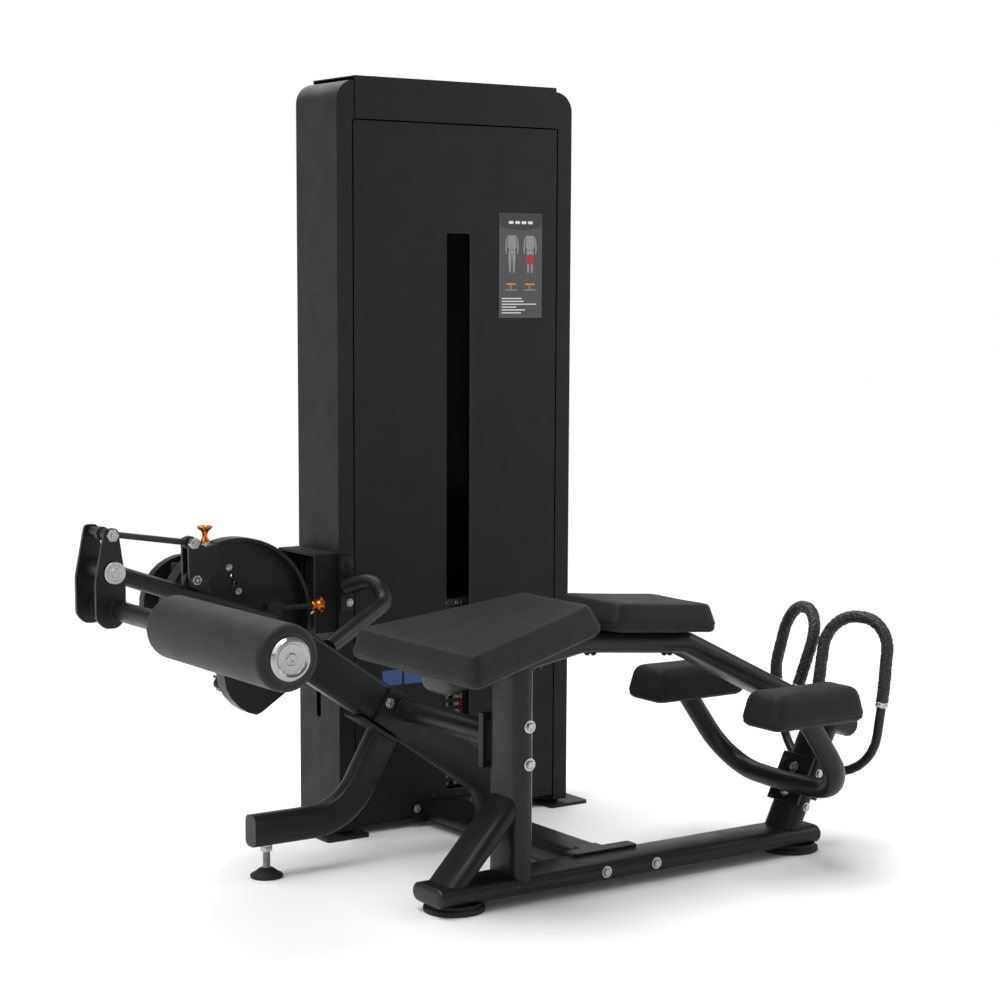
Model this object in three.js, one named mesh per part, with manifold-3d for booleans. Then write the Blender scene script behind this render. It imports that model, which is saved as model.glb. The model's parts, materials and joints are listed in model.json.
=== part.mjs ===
// Lying leg curl machine: weight-stack tower, prone bench and roller movement arm.
// Millimetres, +Z up. +X runs along the bench towards the head end, +Y runs from the bench to the tower.
// Before the last step the left front bottom corner of the tower is x = 0, y = 0, z = 0.
import * as THREE from 'three';
import { mergeVertices } from 'three/addons/utils/BufferGeometryUtils.js';
import Module from 'manifold-3d';

const wasm = await Module();
wasm.setup();

// ---------------------------------------------------------------- driving dimensions
const GAP = 0.3;                                   // clearance between neighbouring pieces
const TOWER = { width: 672, depth: 190, height: 1800, shell: 1790, corner: 48, sheet: 3, strip: 41, foot: 14 };
const HEADER = { z: 1700, proud: 2 };
const SLOT = { x0: 301, x1: 373, z0: 80, z1: 1445, windowZ: 830 };
const STACK = { x: 337, y: 90, width: 330, depth: 120, z0: 80, pitch: 18.15, resting: 19, lifted: 6 };
const ROD_OFFSET = 112;                            // guide rod distance from the stack centre
const BENCH_Y = -675;                              // centre plane of bench, pads and handles
const LEG_Y = -222;                                // centre plane of pivot beam and side leg
const OVAL = { width: 120, height: 50 };           // flat-oval frame tube
const BASE = { x0: -180, x1: 876, z: 41, width: 120, height: 42 };
const UPRIGHT_X = 30;
const CROSS_X = 296;                               // floor cross tube
const CROSS_Z = 35;
const PIVOT = { x: -250, z: 516 };                 // knee axis, along Y
const BEAM_SLOPE = -0.68;                          // pivot beam, dz / dx
const POST_LEAN = 0.488;                           // head post, dx / dz
const ARM_Y = -118;                                // plane of the movement arm tube
const ARM_END = { x: -655, z: 706 };               // axis of the roller adjuster plates
const ROLLER = { x: -644, z: 623, y0: -914, y1: -427, radius: 67, core: 22 };
const CRANK = { x: -5, z: 81 };                    // crank of the adjuster plates and of the adjuster lever
const LEVER = { x: -446, z: 673 };                 // adjuster lever axis
const CAM = { x: -300, z: 562, radius: 188 };      // start plate outline
const LOBE = { x: -378, z: 596, radius: 112 };     // rear lobe outline
const DRUM_RADIUS = 95;
const CABLE_Y = 90;
const CABLE = 3;
const BEAM_Z = 1555;                               // underside of the tower's top crossbeam
const PULLEY = { groove: 45, flange: 51, width: 20 };
const WRAP = PULLEY.groove + CABLE + GAP;          // cable centre line round a pulley
const RISE_X = 105;                                // rising run of the cable
const INNER = { x: RISE_X - WRAP, z: 640 };
const TOP_LEFT = { x: RISE_X + WRAP, z: 1638 };
const TOP_RIGHT = { x: STACK.x - WRAP, z: 1638 };

// ---------------------------------------------------------------- finishes
const paint = (color, roughness, metalness) => new THREE.MeshStandardMaterial({ color, roughness,
  metalness });
const FRAME_BLACK = paint(0x17181a, 0.5, 0.4);
const PANEL_BLACK = paint(0x141516, 0.55, 0.3);
const PAD_VINYL = paint(0x1c1c1d, 0.6, 0.0);
const GRIP_RUBBER = paint(0x222222, 0.85, 0.0);
const FOOT_RUBBER = paint(0x101010, 0.9, 0.0);
const ZINC = paint(0xc8c8c8, 0.3, 1.0);
const CHROME = paint(0xe0e0e0, 0.12, 1.0);
const IRON = paint(0x2a2a2c, 0.6, 0.6);
const ORANGE = paint(0xd0701c, 0.3, 0.9);
const NYLON = paint(0x0d0d0d, 0.5, 0.0);
const SIGN = paint(0x55565a, 0.6, 0.0);
const CLEAR = paint(0x8a8d90, 0.1, 0.0);

// ---------------------------------------------------------------- solid tools
function clean(geometry) {
  const bare = new THREE.BufferGeometry();
  bare.setAttribute('position', geometry.getAttribute('position').clone());
  if (geometry.index) bare.setIndex(geometry.index.clone());
  const merged = mergeVertices(bare, 1e-3);
  const index = merged.index.array;
  const kept = [];
  for (let i = 0; i < index.length; i += 3) {
    const [a, b, c] = [index[i], index[i + 1], index[i + 2]];
    if (a !== b && b !== c && c !== a) kept.push(a, b, c);
  }
  merged.setIndex(kept);
  return merged;
}

function volumeOf(points, index) {
  const [a, b, c] = [new THREE.Vector3(), new THREE.Vector3(), new THREE.Vector3()];
  let sum = 0;
  for (let i = 0; i < index.length; i += 3) {
    a.fromArray(points, 3 * index[i]);
    b.fromArray(points, 3 * index[i + 1]);
    c.fromArray(points, 3 * index[i + 2]);
    sum += a.dot(b.cross(c)) / 6;
  }
  return sum;
}

function solid(geometry) {
  const bare = clean(geometry);
  const vertProperties = new Float32Array(bare.getAttribute('position').array);
  const triVerts = Uint32Array.from(bare.index.array);
  if (volumeOf(vertProperties, triVerts) < 0) triVerts.reverse();
  return new wasm.Manifold(new wasm.Mesh({ numProp: 3, vertProperties, triVerts }));
}

function geometryOf(body) {
  const mesh = body.getMesh();
  const geometry = new THREE.BufferGeometry();
  geometry.setAttribute('position', new THREE.BufferAttribute(new Float32Array(mesh.vertProperties), 3));
  geometry.setIndex(Array.from(mesh.triVerts));
  return geometry;
}

const join = (...pieces) => geometryOf(pieces.map(solid).reduce((a, b) => a.add(b)));
const cut = (piece, ...tools) => geometryOf(tools.map(solid).reduce((a, b) => a.subtract(b),
  solid(piece)));

// ---------------------------------------------------------------- shapes
const v = (x, y, z) => new THREE.Vector3(x, y, z);

function block(x0, y0, z0, x1, y1, z1) {
  const shape = new THREE.BoxGeometry(x1 - x0, y1 - y0, z1 - z0);
  return shape.translate((x0 + x1) / 2, (y0 + y1) / 2, (z0 + z1) / 2);
}

function rod(from, to, radius, sides = 16) {
  const along = to.clone().sub(from);
  const shape = new THREE.CylinderGeometry(radius, radius, along.length(), sides);
  const turn = new THREE.Quaternion().setFromUnitVectors(v(0, 1, 0), along.clone().normalize());
  return shape.applyQuaternion(turn).translate(...from.clone().add(to).multiplyScalar(0.5).toArray());
}

const rodY = (x, z, y0, y1, radius, sides = 16) => rod(v(x, y0, z), v(x, y1, z), radius, sides);

// a turned piece: profile points are [radius, distance along the axis]
function turned(profile, from, direction, sides = 24) {
  const shape = new THREE.LatheGeometry(profile.map(([r, d]) => new THREE.Vector2(r, d)), sides);
  const turn = new THREE.Quaternion().setFromUnitVectors(v(0, 1, 0), direction.clone().normalize());
  return shape.applyQuaternion(turn).translate(from.x, from.y, from.z);
}

// flat pieces: an outline drawn in one plane and given a thickness along the third axis
function plateXZ(shape, y0, y1, curveSegments = 12) {
  const slab = new THREE.ExtrudeGeometry(shape, { depth: y1 - y0, bevelEnabled: false, curveSegments });
  return slab.rotateX(Math.PI / 2).translate(0, y1, 0);
}

function plateXY(shape, z0, z1, curveSegments = 12) {
  const slab = new THREE.ExtrudeGeometry(shape, { depth: z1 - z0, bevelEnabled: false, curveSegments });
  return slab.translate(0, 0, z0);
}

function plateYZ(shape, x0, x1, curveSegments = 12) {
  const slab = new THREE.ExtrudeGeometry(shape, { depth: x1 - x0, bevelEnabled: false, curveSegments });
  slab.applyMatrix4(new THREE.Matrix4().makeBasis(v(0, 1, 0), v(0, 0, 1), v(1, 0, 0)));
  return slab.translate(x0, 0, 0);
}

function outline(points) {
  return new THREE.Shape(points.map(([x, y]) => new THREE.Vector2(x, y)));
}

function roundedOutline(points, radius) {
  const shape = new THREE.Shape();
  const corners = points.map(([x, y]) => new THREE.Vector2(x, y));
  corners.forEach((corner, i) => {
    const before = corners.at(i - 1).clone().sub(corner);
    const after = corners[(i + 1) % corners.length].clone().sub(corner);
    const start = corner.clone().add(before.setLength(radius));
    const end = corner.clone().add(after.setLength(radius));
    if (i === 0) shape.moveTo(start.x, start.y);
    else shape.lineTo(start.x, start.y);
    shape.quadraticCurveTo(corner.x, corner.y, end.x, end.y);
  });
  shape.closePath();
  return shape;
}

const disc = (x, y, radius) => new THREE.Shape().absarc(x, y, radius, 0, 2 * Math.PI);

// the outline of a belt round two circles
function strapOutline(a, ra, b, rb, steps = 14) {
  const along = Math.atan2(b.z - a.z, b.x - a.x);
  const lean = Math.acos((ra - rb) / Math.hypot(b.x - a.x, b.z - a.z));
  const points = [];
  for (let i = 0; i <= steps; i += 1) {
    const t = along + lean + ((2 * Math.PI - 2 * lean) * i) / steps;
    points.push([a.x + ra * Math.cos(t), a.z + ra * Math.sin(t)]);
  }
  for (let i = 0; i <= steps; i += 1) {
    const t = along - lean + (2 * lean * i) / steps;
    points.push([b.x + rb * Math.cos(t), b.z + rb * Math.sin(t)]);
  }
  return outline(points);
}

// ---------------------------------------------------------------- tubes
// straight runs joined by round bends; a bend radius may be given for each inner corner
function bentPath(corners, radii, step = 12) {
  const points = [corners[0].clone()];
  for (let i = 1; i < corners.length - 1; i += 1) {
    const radius = Array.isArray(radii) ? radii[i - 1] : radii;
    const back = corners[i - 1].clone().sub(corners[i]).normalize();
    const ahead = corners[i + 1].clone().sub(corners[i]).normalize();
    const half = back.angleTo(ahead) / 2;
    const middle = back.clone().add(ahead).normalize();
    const centre = corners[i].clone().addScaledVector(middle, radius / Math.sin(half));
    const start = corners[i].clone().addScaledVector(back, radius / Math.tan(half)).sub(centre);
    const turn = Math.PI - 2 * half;
    const steps = Math.max(3, Math.ceil(turn / THREE.MathUtils.degToRad(step)));
    const axis = back.clone().negate().cross(ahead).normalize();
    for (let k = 0; k <= steps; k += 1) {
      points.push(start.clone().applyAxisAngle(axis, (turn * k) / steps).add(centre));
    }
  }
  points.push(corners.at(-1).clone());
  return points;
}

function ovalSection(width, height, grow = 0, arc = 7) {
  const radius = height / 2 + grow;
  const straight = (width - height) / 2;
  const points = [];
  for (const side of [1, -1]) {
    for (let i = 0; i < arc; i += 1) {
      const t = -Math.PI / 2 + (Math.PI * i) / (arc - 1);
      points.push([side * (straight + radius * Math.cos(t)), side * radius * Math.sin(t)]);
    }
  }
  return points;
}

function boxSection(width, height, corner, grow = 0, arc = 4) {
  const radius = corner + grow;
  const points = [];
  for (let q = 0; q < 4; q += 1) {
    const sx = q === 0 || q === 3 ? 1 : -1;
    const sy = q < 2 ? 1 : -1;
    for (let i = 0; i < arc; i += 1) {
      const t = (Math.PI / 2) * (q + i / (arc - 1));
      points.push([sx * (width / 2 - corner) + radius * Math.cos(t),
        sy * (height / 2 - corner) + radius * Math.sin(t)]);
    }
  }
  return points;
}

function roundSection(radius, sides = 14) {
  return Array.from({ length: sides }, (_, i) => {
    const t = (2 * Math.PI * i) / sides;
    return [radius * Math.cos(t), radius * Math.sin(t)];
  });
}

// a closed skin over rings that all hold the same number of points, with a flat cap at both ends
function skin(rings) {
  const count = rings[0].length;
  const index = [];
  for (let i = 0; i < rings.length - 1; i += 1) {
    for (let j = 0; j < count; j += 1) {
      const [a, b] = [i * count + j, i * count + ((j + 1) % count)];
      index.push(a, b, a + count, b, b + count, a + count);
    }
  }
  const last = (rings.length - 1) * count;
  for (let j = 1; j < count - 1; j += 1) {
    index.push(0, j + 1, j);
    index.push(last, last + j, last + j + 1);
  }
  const geometry = new THREE.BufferGeometry();
  const positions = rings.flat().flatMap((point) => point.toArray());
  geometry.setAttribute('position', new THREE.Float32BufferAttribute(positions, 3));
  geometry.setIndex(index);
  return geometry;
}

// a section swept along a path; the section's first axis stays as close to `side` as it can
function sweep(path, section, side) {
  return skin(path.map((point, i) => {
    const before = path[Math.max(i - 1, 0)];
    const after = path[Math.min(i + 1, path.length - 1)];
    const along = after.clone().sub(before).normalize();
    const first = side.clone().addScaledVector(along, -side.dot(along)).normalize();
    const second = along.clone().cross(first);
    return section.map(([a, b]) => point.clone().addScaledVector(first, a).addScaledVector(second, b));
  }));
}

// an upholstered block: a rounded outline stacked in layers of [height, inset]
function cushion(corners, radius, layers) {
  const loop = roundedOutline(corners, radius).extractPoints(4).shape;
  if (loop[0].distanceTo(loop.at(-1)) < 1e-6) loop.pop();
  const box = new THREE.Box2().setFromPoints(loop);
  const centre = box.getCenter(new THREE.Vector2());
  const half = box.getSize(new THREE.Vector2()).multiplyScalar(0.5);
  return skin(layers.map(([z, inset]) => loop.map((point) =>
    v(centre.x + (point.x - centre.x) * (1 - inset / half.x),
      centre.y + (point.y - centre.y) * (1 - inset / half.y), z))));
}

const SIDE_Y = v(0, 1, 0);
const SIDE_X = v(1, 0, 0);
const SIDE_DIAGONAL = v(0.6, 0.1, 0.5);

// ---------------------------------------------------------------- the assembly
const machine = new THREE.Group();

function add(name, geometry, material) {
  const mesh = new THREE.Mesh(geometryOf(solid(geometry)), material);
  mesh.name = name;
  machine.add(mesh);
}

// ---------------------------------------------------------------- bench frame members
const baseTube = (grow = 0) =>
  sweep([v(BASE.x0 - grow, BENCH_Y, BASE.z), v(BASE.x1 + grow, BENCH_Y, BASE.z)],
    ovalSection(BASE.width, BASE.height, grow), SIDE_Y);

const MAIN_PATH = bentPath(
  [v(-160, BENCH_Y, 496.4), v(190, BENCH_Y, 557), v(479, BENCH_Y, 531), v(985, BENCH_Y, 284)], [180, 70]);
const mainBeam = (grow = 0) => sweep(MAIN_PATH, ovalSection(OVAL.width, OVAL.height, grow), SIDE_Y);

const upright = (grow = 0) =>
  sweep([v(UPRIGHT_X, BENCH_Y, BASE.z), v(UPRIGHT_X, BENCH_Y, 530)],
    ovalSection(OVAL.width, OVAL.height, grow), SIDE_Y);

const floorCross = (grow = 0) =>
  sweep([v(CROSS_X, BENCH_Y, CROSS_Z), v(CROSS_X, -GAP - 9, CROSS_Z)],
    ovalSection(OVAL.width, OVAL.height, grow), SIDE_X);

const postPoint = (z) => v(810 + POST_LEAN * (z - 60), BENCH_Y, z);
const headPost = (grow = 0) =>
  sweep([postPoint(BASE.z), postPoint(310)], ovalSection(100, 46, grow), SIDE_Y);

const beamPoint = (x) => v(x, LEG_Y, PIVOT.z + BEAM_SLOPE * (x - PIVOT.x));
const LEG_TUBE = { width: 50, height: 98, corner: 14 };
const pivotBeam = (grow = 0) =>
  sweep(bentPath([beamPoint(PIVOT.x), beamPoint(CROSS_X), v(CROSS_X, LEG_Y, CROSS_Z)], 130, 8),
    boxSection(LEG_TUBE.width, LEG_TUBE.height, LEG_TUBE.corner, grow), SIDE_Y);
const pivotHousing = (grow = 0) => rodY(PIVOT.x, PIVOT.z, LEG_Y - 34 - grow, LEG_Y + 36 + grow,
  40 + grow, 24);

const CROSS_TUBE = { x: UPRIGHT_X, z: 352, radius: 27 };
const upperCross = (grow = 0) =>
  sweep([v(CROSS_TUBE.x, BENCH_Y + 76, CROSS_TUBE.z), v(CROSS_TUBE.x, LEG_Y - 33, CROSS_TUBE.z)],
    roundSection(CROSS_TUBE.radius + grow, 20), SIDE_X);

// a plate lying along the pivot beam, `across` above its centre line
function beamPlate(x, across, length, thickness, y0, y1) {
  const along = v(1, 0, BEAM_SLOPE).normalize();
  const up = v(-along.z, 0, along.x);
  const centre = beamPoint(x).addScaledVector(up, across);
  const corners = [[-1, -1], [1, -1], [1, 1], [-1, 1]].map(([a, b]) => {
    const p = centre.clone().addScaledVector(along, (a * length) / 2).addScaledVector(up,
      (b * thickness) / 2);
    return [p.x, p.z];
  });
  return plateXZ(outline(corners), y0, y1);
}

function buildBench() {
  add('base_tube', baseTube(), FRAME_BLACK);
  add('main_beam', mainBeam(), FRAME_BLACK);

  const uprightFlange = block(UPRIGHT_X - 33, BENCH_Y + 60, 284, UPRIGHT_X + 33, BENCH_Y + 68, 404);
  const flangeNeck = block(UPRIGHT_X - 20, BENCH_Y + 50, 300, UPRIGHT_X + 20, BENCH_Y + 62, 390);
  add('upright', cut(join(upright(), uprightFlange, flangeNeck), baseTube(GAP), mainBeam(GAP)),
    FRAME_BLACK);

  const brace = sweep([v(-147, BENCH_Y, 43), v(UPRIGHT_X, BENCH_Y, 230)], ovalSection(100, 42), SIDE_Y);
  add('diagonal_brace', cut(brace, baseTube(GAP), upright(GAP),
    block(UPRIGHT_X, BENCH_Y - 80, 0, UPRIGHT_X + 90, BENCH_Y + 80, 400)), FRAME_BLACK);

  const corners = [[222, BENCH_Y + 24], [396, BENCH_Y + 24], [396, BENCH_Y + 62], [222, BENCH_Y + 62]];
  const gusset = plateXY(roundedOutline(corners, 8), 62 + GAP, 68);
  const footFlange = block(CROSS_X - 90, -9 - GAP, 12, CROSS_X + 90, -GAP, 58);
  const crossNeck = block(CROSS_X - 30, BENCH_Y + 40, 50, CROSS_X + 30, BENCH_Y + 90, 67);
  const crossWithPlates = join(floorCross(), footFlange, crossNeck);
  add('floor_cross_tube', join(cut(crossWithPlates, baseTube(GAP)), gusset), FRAME_BLACK);

  add('upper_cross_tube', join(upperCross(),
    block(UPRIGHT_X - 33, BENCH_Y + 68 + GAP, 284, UPRIGHT_X + 33, BENCH_Y + 76.3, 404),
    beamPlate(12, 4, 112, 92, LEG_Y - 33.5, LEG_Y - LEG_TUBE.width / 2 - GAP)), FRAME_BLACK);

  add('pivot_beam', cut(pivotBeam(), floorCross(GAP), pivotHousing(GAP)), FRAME_BLACK);
  const bearingBore = rodY(PIVOT.x, PIVOT.z, -400, 0, 20.5, 24);
  add('pivot_bearing_housing', cut(pivotHousing(), bearingBore), FRAME_BLACK);

  const leg = sweep(bentPath([v(-361, LEG_Y, 112), v(-121, LEG_Y, 112), v(9, LEG_Y, 339)], 150, 8),
    boxSection(48, 72, 14), SIDE_Y);
  const aboveFlange = beamPlate(-18, 98, 700, 302, -400, 0);
  const legFlange = beamPlate(-18, -LEG_TUBE.height / 2 - 4.5 - GAP, 112, 9, LEG_Y - 38, LEG_Y + 38);
  add('side_leg', join(cut(leg, aboveFlange), legFlange), FRAME_BLACK);
  add('levelling_foot', turned([[0, 0], [37, 0], [37, 6], [30, 12], [16, 21], [9, 22], [9, 62],
    [15, 62], [15, 76 - GAP],
    [0, 76 - GAP]], v(-318, LEG_Y + 6, 0), v(0, 0, 1), 20), ZINC);

  const foot = [[0, 0], [66, 0], [66, 11], [58, 12], [58, 20 - GAP], [0, 20 - GAP]];
  for (const [name, x] of [['base_foot_left', -116], ['base_foot_right', 834]]) {
    add(name, turned(foot, v(x, BENCH_Y, 0), v(0, 0, 1), 28), FOOT_RUBBER);
  }
}

// ---------------------------------------------------------------- head end: post, elbow rests, handles
const POST_ALONG = v(POST_LEAN, 0, 1).normalize();
const POST_OUT = v(POST_ALONG.z, 0, -POST_ALONG.x);

function postPlate(z, outward, width, height, thickness) {
  const centre = postPoint(z).addScaledVector(POST_OUT, outward);
  const plate = new THREE.BoxGeometry(thickness, width, height);
  plate.applyMatrix4(new THREE.Matrix4().makeBasis(POST_OUT, v(0, 1, 0), POST_ALONG));
  return plate.translate(centre.x, centre.y, centre.z);
}

const ELBOW_CORNERS = (side) => [v(684, BENCH_Y + side * 214, 362), v(824, BENCH_Y + side * 214, 171)];
const ELBOW_RADIUS = 24;
const ELBOW_PATH = bentPath([...ELBOW_CORNERS(-1), v(806, BENCH_Y, 169),
  ...ELBOW_CORNERS(1).reverse()], [110, 500, 110]);
const elbowTube = (grow = 0) => sweep(ELBOW_PATH, roundSection(ELBOW_RADIUS + grow, 16), v(0.5, 0, 0.8));

const handleCorners = (side) => [[868, 40, 336], [929, 11, 557], [975, 170, 557], [944, 188, 400],
  [950, 152, 208], [908, 8, 174]]
  .map(([x, out, z]) => v(x, BENCH_Y + side * out, z));
const HANDLE_BENDS = [77, 77, 150, 125];
const GRIP = { tube: 11, radius: 14.3, inner: 384, outer: 372 };

// the part of a path above `inner` near its start and above `outer` near its end
function gripPath(path, inner, outer) {
  const top = path.findIndex((p) => p.z > 535);
  const kept = path.filter((p, i) => (i <= top ? p.z > inner : p.z > outer));
  const cutAt = (a, b, z) => a.clone().lerp(b, (z - a.z) / (b.z - a.z));
  const first = path.indexOf(kept[0]);
  const last = path.indexOf(kept.at(-1));
  return [cutAt(path[first - 1], path[first], inner), ...kept, cutAt(path[last], path[last + 1], outer)];
}

function buildHeadEnd() {
  const elbowPlate = postPlate(160, -26.5, 104, 118, 8);
  const handlePlate = postPlate(176, 26.5, 92, 96, 8);
  add('head_post', cut(join(headPost(), elbowPlate, handlePlate), baseTube(GAP), mainBeam(GAP),
    elbowTube(GAP)), FRAME_BLACK);
  add('elbow_tube', cut(elbowTube(), block(600, -1000, 351, 800, -300, 400)), FRAME_BLACK);

  for (const [name, side] of [['near', -1], ['far', 1]]) {
    const path = bentPath(handleCorners(side), HANDLE_BENDS);
    const tube = sweep(path, roundSection(GRIP.tube, 12), SIDE_DIAGONAL);
    const grip = gripPath(path, GRIP.inner, GRIP.outer);
    add(`handle_tube_${name}`, cut(tube, mainBeam(GAP), join(headPost(GAP),
      postPlate(176, 26.5, 93, 97, 8 + 2 * GAP))),
      FRAME_BLACK);
    add(`handle_grip_${name}`, cut(sweep(grip, roundSection(GRIP.radius, 14), SIDE_DIAGONAL),
      sweep(path, roundSection(GRIP.tube + GAP, 12), SIDE_DIAGONAL)), GRIP_RUBBER);
    const pad = cushion([[546, 0], [815, 0], [815, 132], [546, 132]], 24,
      [[352 + GAP, 10], [360, 2], [372, 0], [414, 8], [426, 13], [432, 22]]);
    add(`elbow_pad_${name}`, pad.translate(0, side > 0 ? BENCH_Y + 140 : BENCH_Y - 272, 0), PAD_VINYL);
  }
}

// ---------------------------------------------------------------- pads
function tiltedPad(corners, radius, layers, origin, slope) {
  const slab = cushion(corners, radius, layers);
  return slab.rotateY(-THREE.MathUtils.degToRad(slope)).translate(origin.x, origin.y, origin.z);
}

function buildPads() {
  const thigh = [[-12, -247], [401, -135], [401, 135], [-12, 247]];
  const thighLayers = [[-70, 14], [-60, 2], [-52, 0], [-4, 16], [-1, 18], [0, 21]];
  add('thigh_pad', tiltedPad(thigh, 24, thighLayers, v(-227, BENCH_Y, 585.5), 10), PAD_VINYL);
  const chest = [[-11, -121], [279, -121], [279, 121], [-11, 121]];
  const chestLayers = [[-62, 5], [-56, 1], [-42, 0], [-4, 11], [-1, 13], [0, 17]];
  add('chest_pad', tiltedPad(chest, 26, chestLayers, v(232, BENCH_Y, 645), -4.7), PAD_VINYL);
}

// ---------------------------------------------------------------- tower
function shellOutline(inset) {
  const { corner, shell, foot } = TOWER;
  const shape = new THREE.Shape();
  shape.moveTo(inset, foot);
  shape.lineTo(inset, shell - corner);
  shape.absarc(corner, shell - corner, corner - inset, Math.PI, Math.PI / 2, true);
  return shape;
}

function sideShell(left) {
  const { sheet, strip, depth, shell, corner, foot } = TOWER;
  const band = shellOutline(0);
  band.lineTo(corner, shell - sheet);
  band.absarc(corner, shell - corner, corner - sheet, Math.PI / 2, Math.PI, false);
  band.lineTo(sheet, foot);
  const flange = (reach) => {
    const shape = shellOutline(0.5);
    shape.lineTo(corner, HEADER.z);
    shape.lineTo(reach, HEADER.z);
    shape.lineTo(reach, foot);
    return shape;
  };
  let body = join(plateXZ(band, 0, depth, 6), plateXZ(flange(strip), 0, sheet, 6),
    plateXZ(flange(20), depth - sheet, depth, 6));
  if (left) {
    const sideSlot = plateYZ(roundedOutline([[88, 281], [108, 281], [108, 440], [88, 440]], 9.9), -5, 10);
    body = cut(body, block(-5, 18, 517, 10, 172, 683), sideSlot);
    return body;
  }
  return body.scale(-1, 1, 1).translate(TOWER.width, 0, 0);
}

function channelYZ(x0, x1) {
  const { depth, height, sheet } = TOWER;
  const y0 = -HEADER.proud;
  const shape = outline([[y0, HEADER.z + 2], [y0, height], [depth, height], [depth, HEADER.z],
    [depth - sheet, HEADER.z],
    [depth - sheet, height - sheet], [y0 + sheet, height - sheet], [y0 + sheet, HEADER.z + 2]]);
  return plateYZ(shape, x0, x1);
}

function buildTower() {
  const { width, depth, height, sheet, strip, corner } = TOWER;
  add('side_shell_left', sideShell(true), PANEL_BLACK);
  add('side_shell_right', sideShell(false), PANEL_BLACK);
  add('header_cap', channelYZ(corner + GAP, width - corner - GAP), PANEL_BLACK);

  const panel = outline([[strip + 4, 29], [width - strip - 4, 29], [width - strip - 4, HEADER.z - 1],
    [strip + 4, HEADER.z - 1]]);
  panel.holes.push(roundedOutline([[SLOT.x0, SLOT.z0], [SLOT.x0, SLOT.z1], [SLOT.x1, SLOT.z1],
    [SLOT.x1, SLOT.z0]], 8));
  add('front_panel', plateXZ(panel, 0, sheet, 4), PANEL_BLACK);
  add('rear_panel', block(20 + GAP, depth - sheet, 20, width - 20 - GAP, depth, HEADER.z - GAP),
    PANEL_BLACK);
  add('slot_window', block(SLOT.x0 - 12, sheet + GAP, SLOT.windowZ, SLOT.x1 + 12, sheet + 3,
    SLOT.z1 + 12), CLEAR);
  add('placard', block(455, -1.8, 1240, 583, -GAP, 1494), SIGN);

  const post = (x) => block(x, 120, 60 + GAP, x + 46, 180, BEAM_Z - GAP);
  add('tower_post_left', post(6), FRAME_BLACK);
  add('tower_post_right', post(width - 52), FRAME_BLACK);
  const topBeam = block(6, 120, BEAM_Z, width - 6, 180, HEADER.z - 10);
  const rodRail = block(STACK.x - ROD_OFFSET - 45, 60, BEAM_Z, STACK.x + ROD_OFFSET + 45, 125,
    BEAM_Z + 15);
  const cableGap = block(STACK.x - 14, 76, BEAM_Z - 5, STACK.x + 14, 106, BEAM_Z + 25);
  const rodSeats = [-1, 1].map((s) =>
    rod(v(STACK.x + s * ROD_OFFSET, STACK.y, BEAM_Z - 5), v(STACK.x + s * ROD_OFFSET, STACK.y,
      BEAM_Z + 25), 12.5 + GAP));
  const axles = [TOP_LEFT, TOP_RIGHT].map((p) => rodY(p.x, p.z, 72, 130, 8 - GAP));
  const spacers = [TOP_LEFT, TOP_RIGHT].map((p) => rodY(p.x, p.z, 102, 130, 15));
  add('top_crossbeam', join(cut(join(topBeam, rodRail), cableGap, ...rodSeats), ...axles, ...spacers),
    FRAME_BLACK);

  const baseBeam = block(6, 30, 14, width - 6, 180, 60);
  const footPlates = [-49, width - 68].map((x) =>
    plateXY(roundedOutline([[x, -28], [x + 117, -28], [x + 117, 215], [x, 215]], 10), 0, 8));
  const legs = [-9 + 15, width - 52].map((x) => block(x, 30, 4, x + 46, 180, 20));
  const seats = [-1, 1].map((s) => rod(v(STACK.x + s * ROD_OFFSET, STACK.y, 40),
    v(STACK.x + s * ROD_OFFSET, STACK.y, 80),
    12.5 + GAP));
  add('tower_base', cut(join(baseBeam, ...footPlates, ...legs), ...seats), FRAME_BLACK);

  for (const [name, s] of [['guide_rod_left', -1], ['guide_rod_right', 1]]) {
    const x = STACK.x + s * ROD_OFFSET;
    add(name, rod(v(x, STACK.y, 40 + GAP), v(x, STACK.y, BEAM_Z + 14), 12.5, 16), CHROME);
  }
}

// ---------------------------------------------------------------- weight stack
function plates(count, z0) {
  const { x, y, width, depth, pitch } = STACK;
  const groove = 1.6;
  const rect = (inset) => outline([[x - width / 2 + inset, y - depth / 2 + inset],
    [x + width / 2 - inset, y - depth / 2 + inset],
    [x + width / 2 - inset, y + depth / 2 - inset], [x - width / 2 + inset, y + depth / 2 - inset]]);
  const layers = [plateXY(rect(2.5), z0, z0 + count * pitch - groove)];
  for (let i = 0; i < count; i += 1) {
    layers.push(plateXY(rect(0), z0 + i * pitch, z0 + (i + 1) * pitch - groove));
  }
  const bores = [-1, 1].map((s) => rod(v(x + s * ROD_OFFSET, y, z0 - 5),
    v(x + s * ROD_OFFSET, y, z0 + count * pitch + 5), 14.5, 12));
  bores.push(rod(v(x, y, z0 - 5), v(x, y, z0 + count * pitch + 5), 14, 12));
  for (let i = 0; i < count; i += 1) {
    const z = z0 + (i + 0.5) * pitch - groove / 2;
    bores.push(rod(v(x, y - depth / 2 - 5, z), v(x, y - 8, z), 5.2, 8));
  }
  return cut(join(...layers), ...bores);
}

const HEAD_Z = STACK.z0 + (STACK.resting + STACK.lifted) * STACK.pitch;
const PIN_Z = STACK.z0 + (STACK.resting + 0.5) * STACK.pitch - 0.8;

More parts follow.
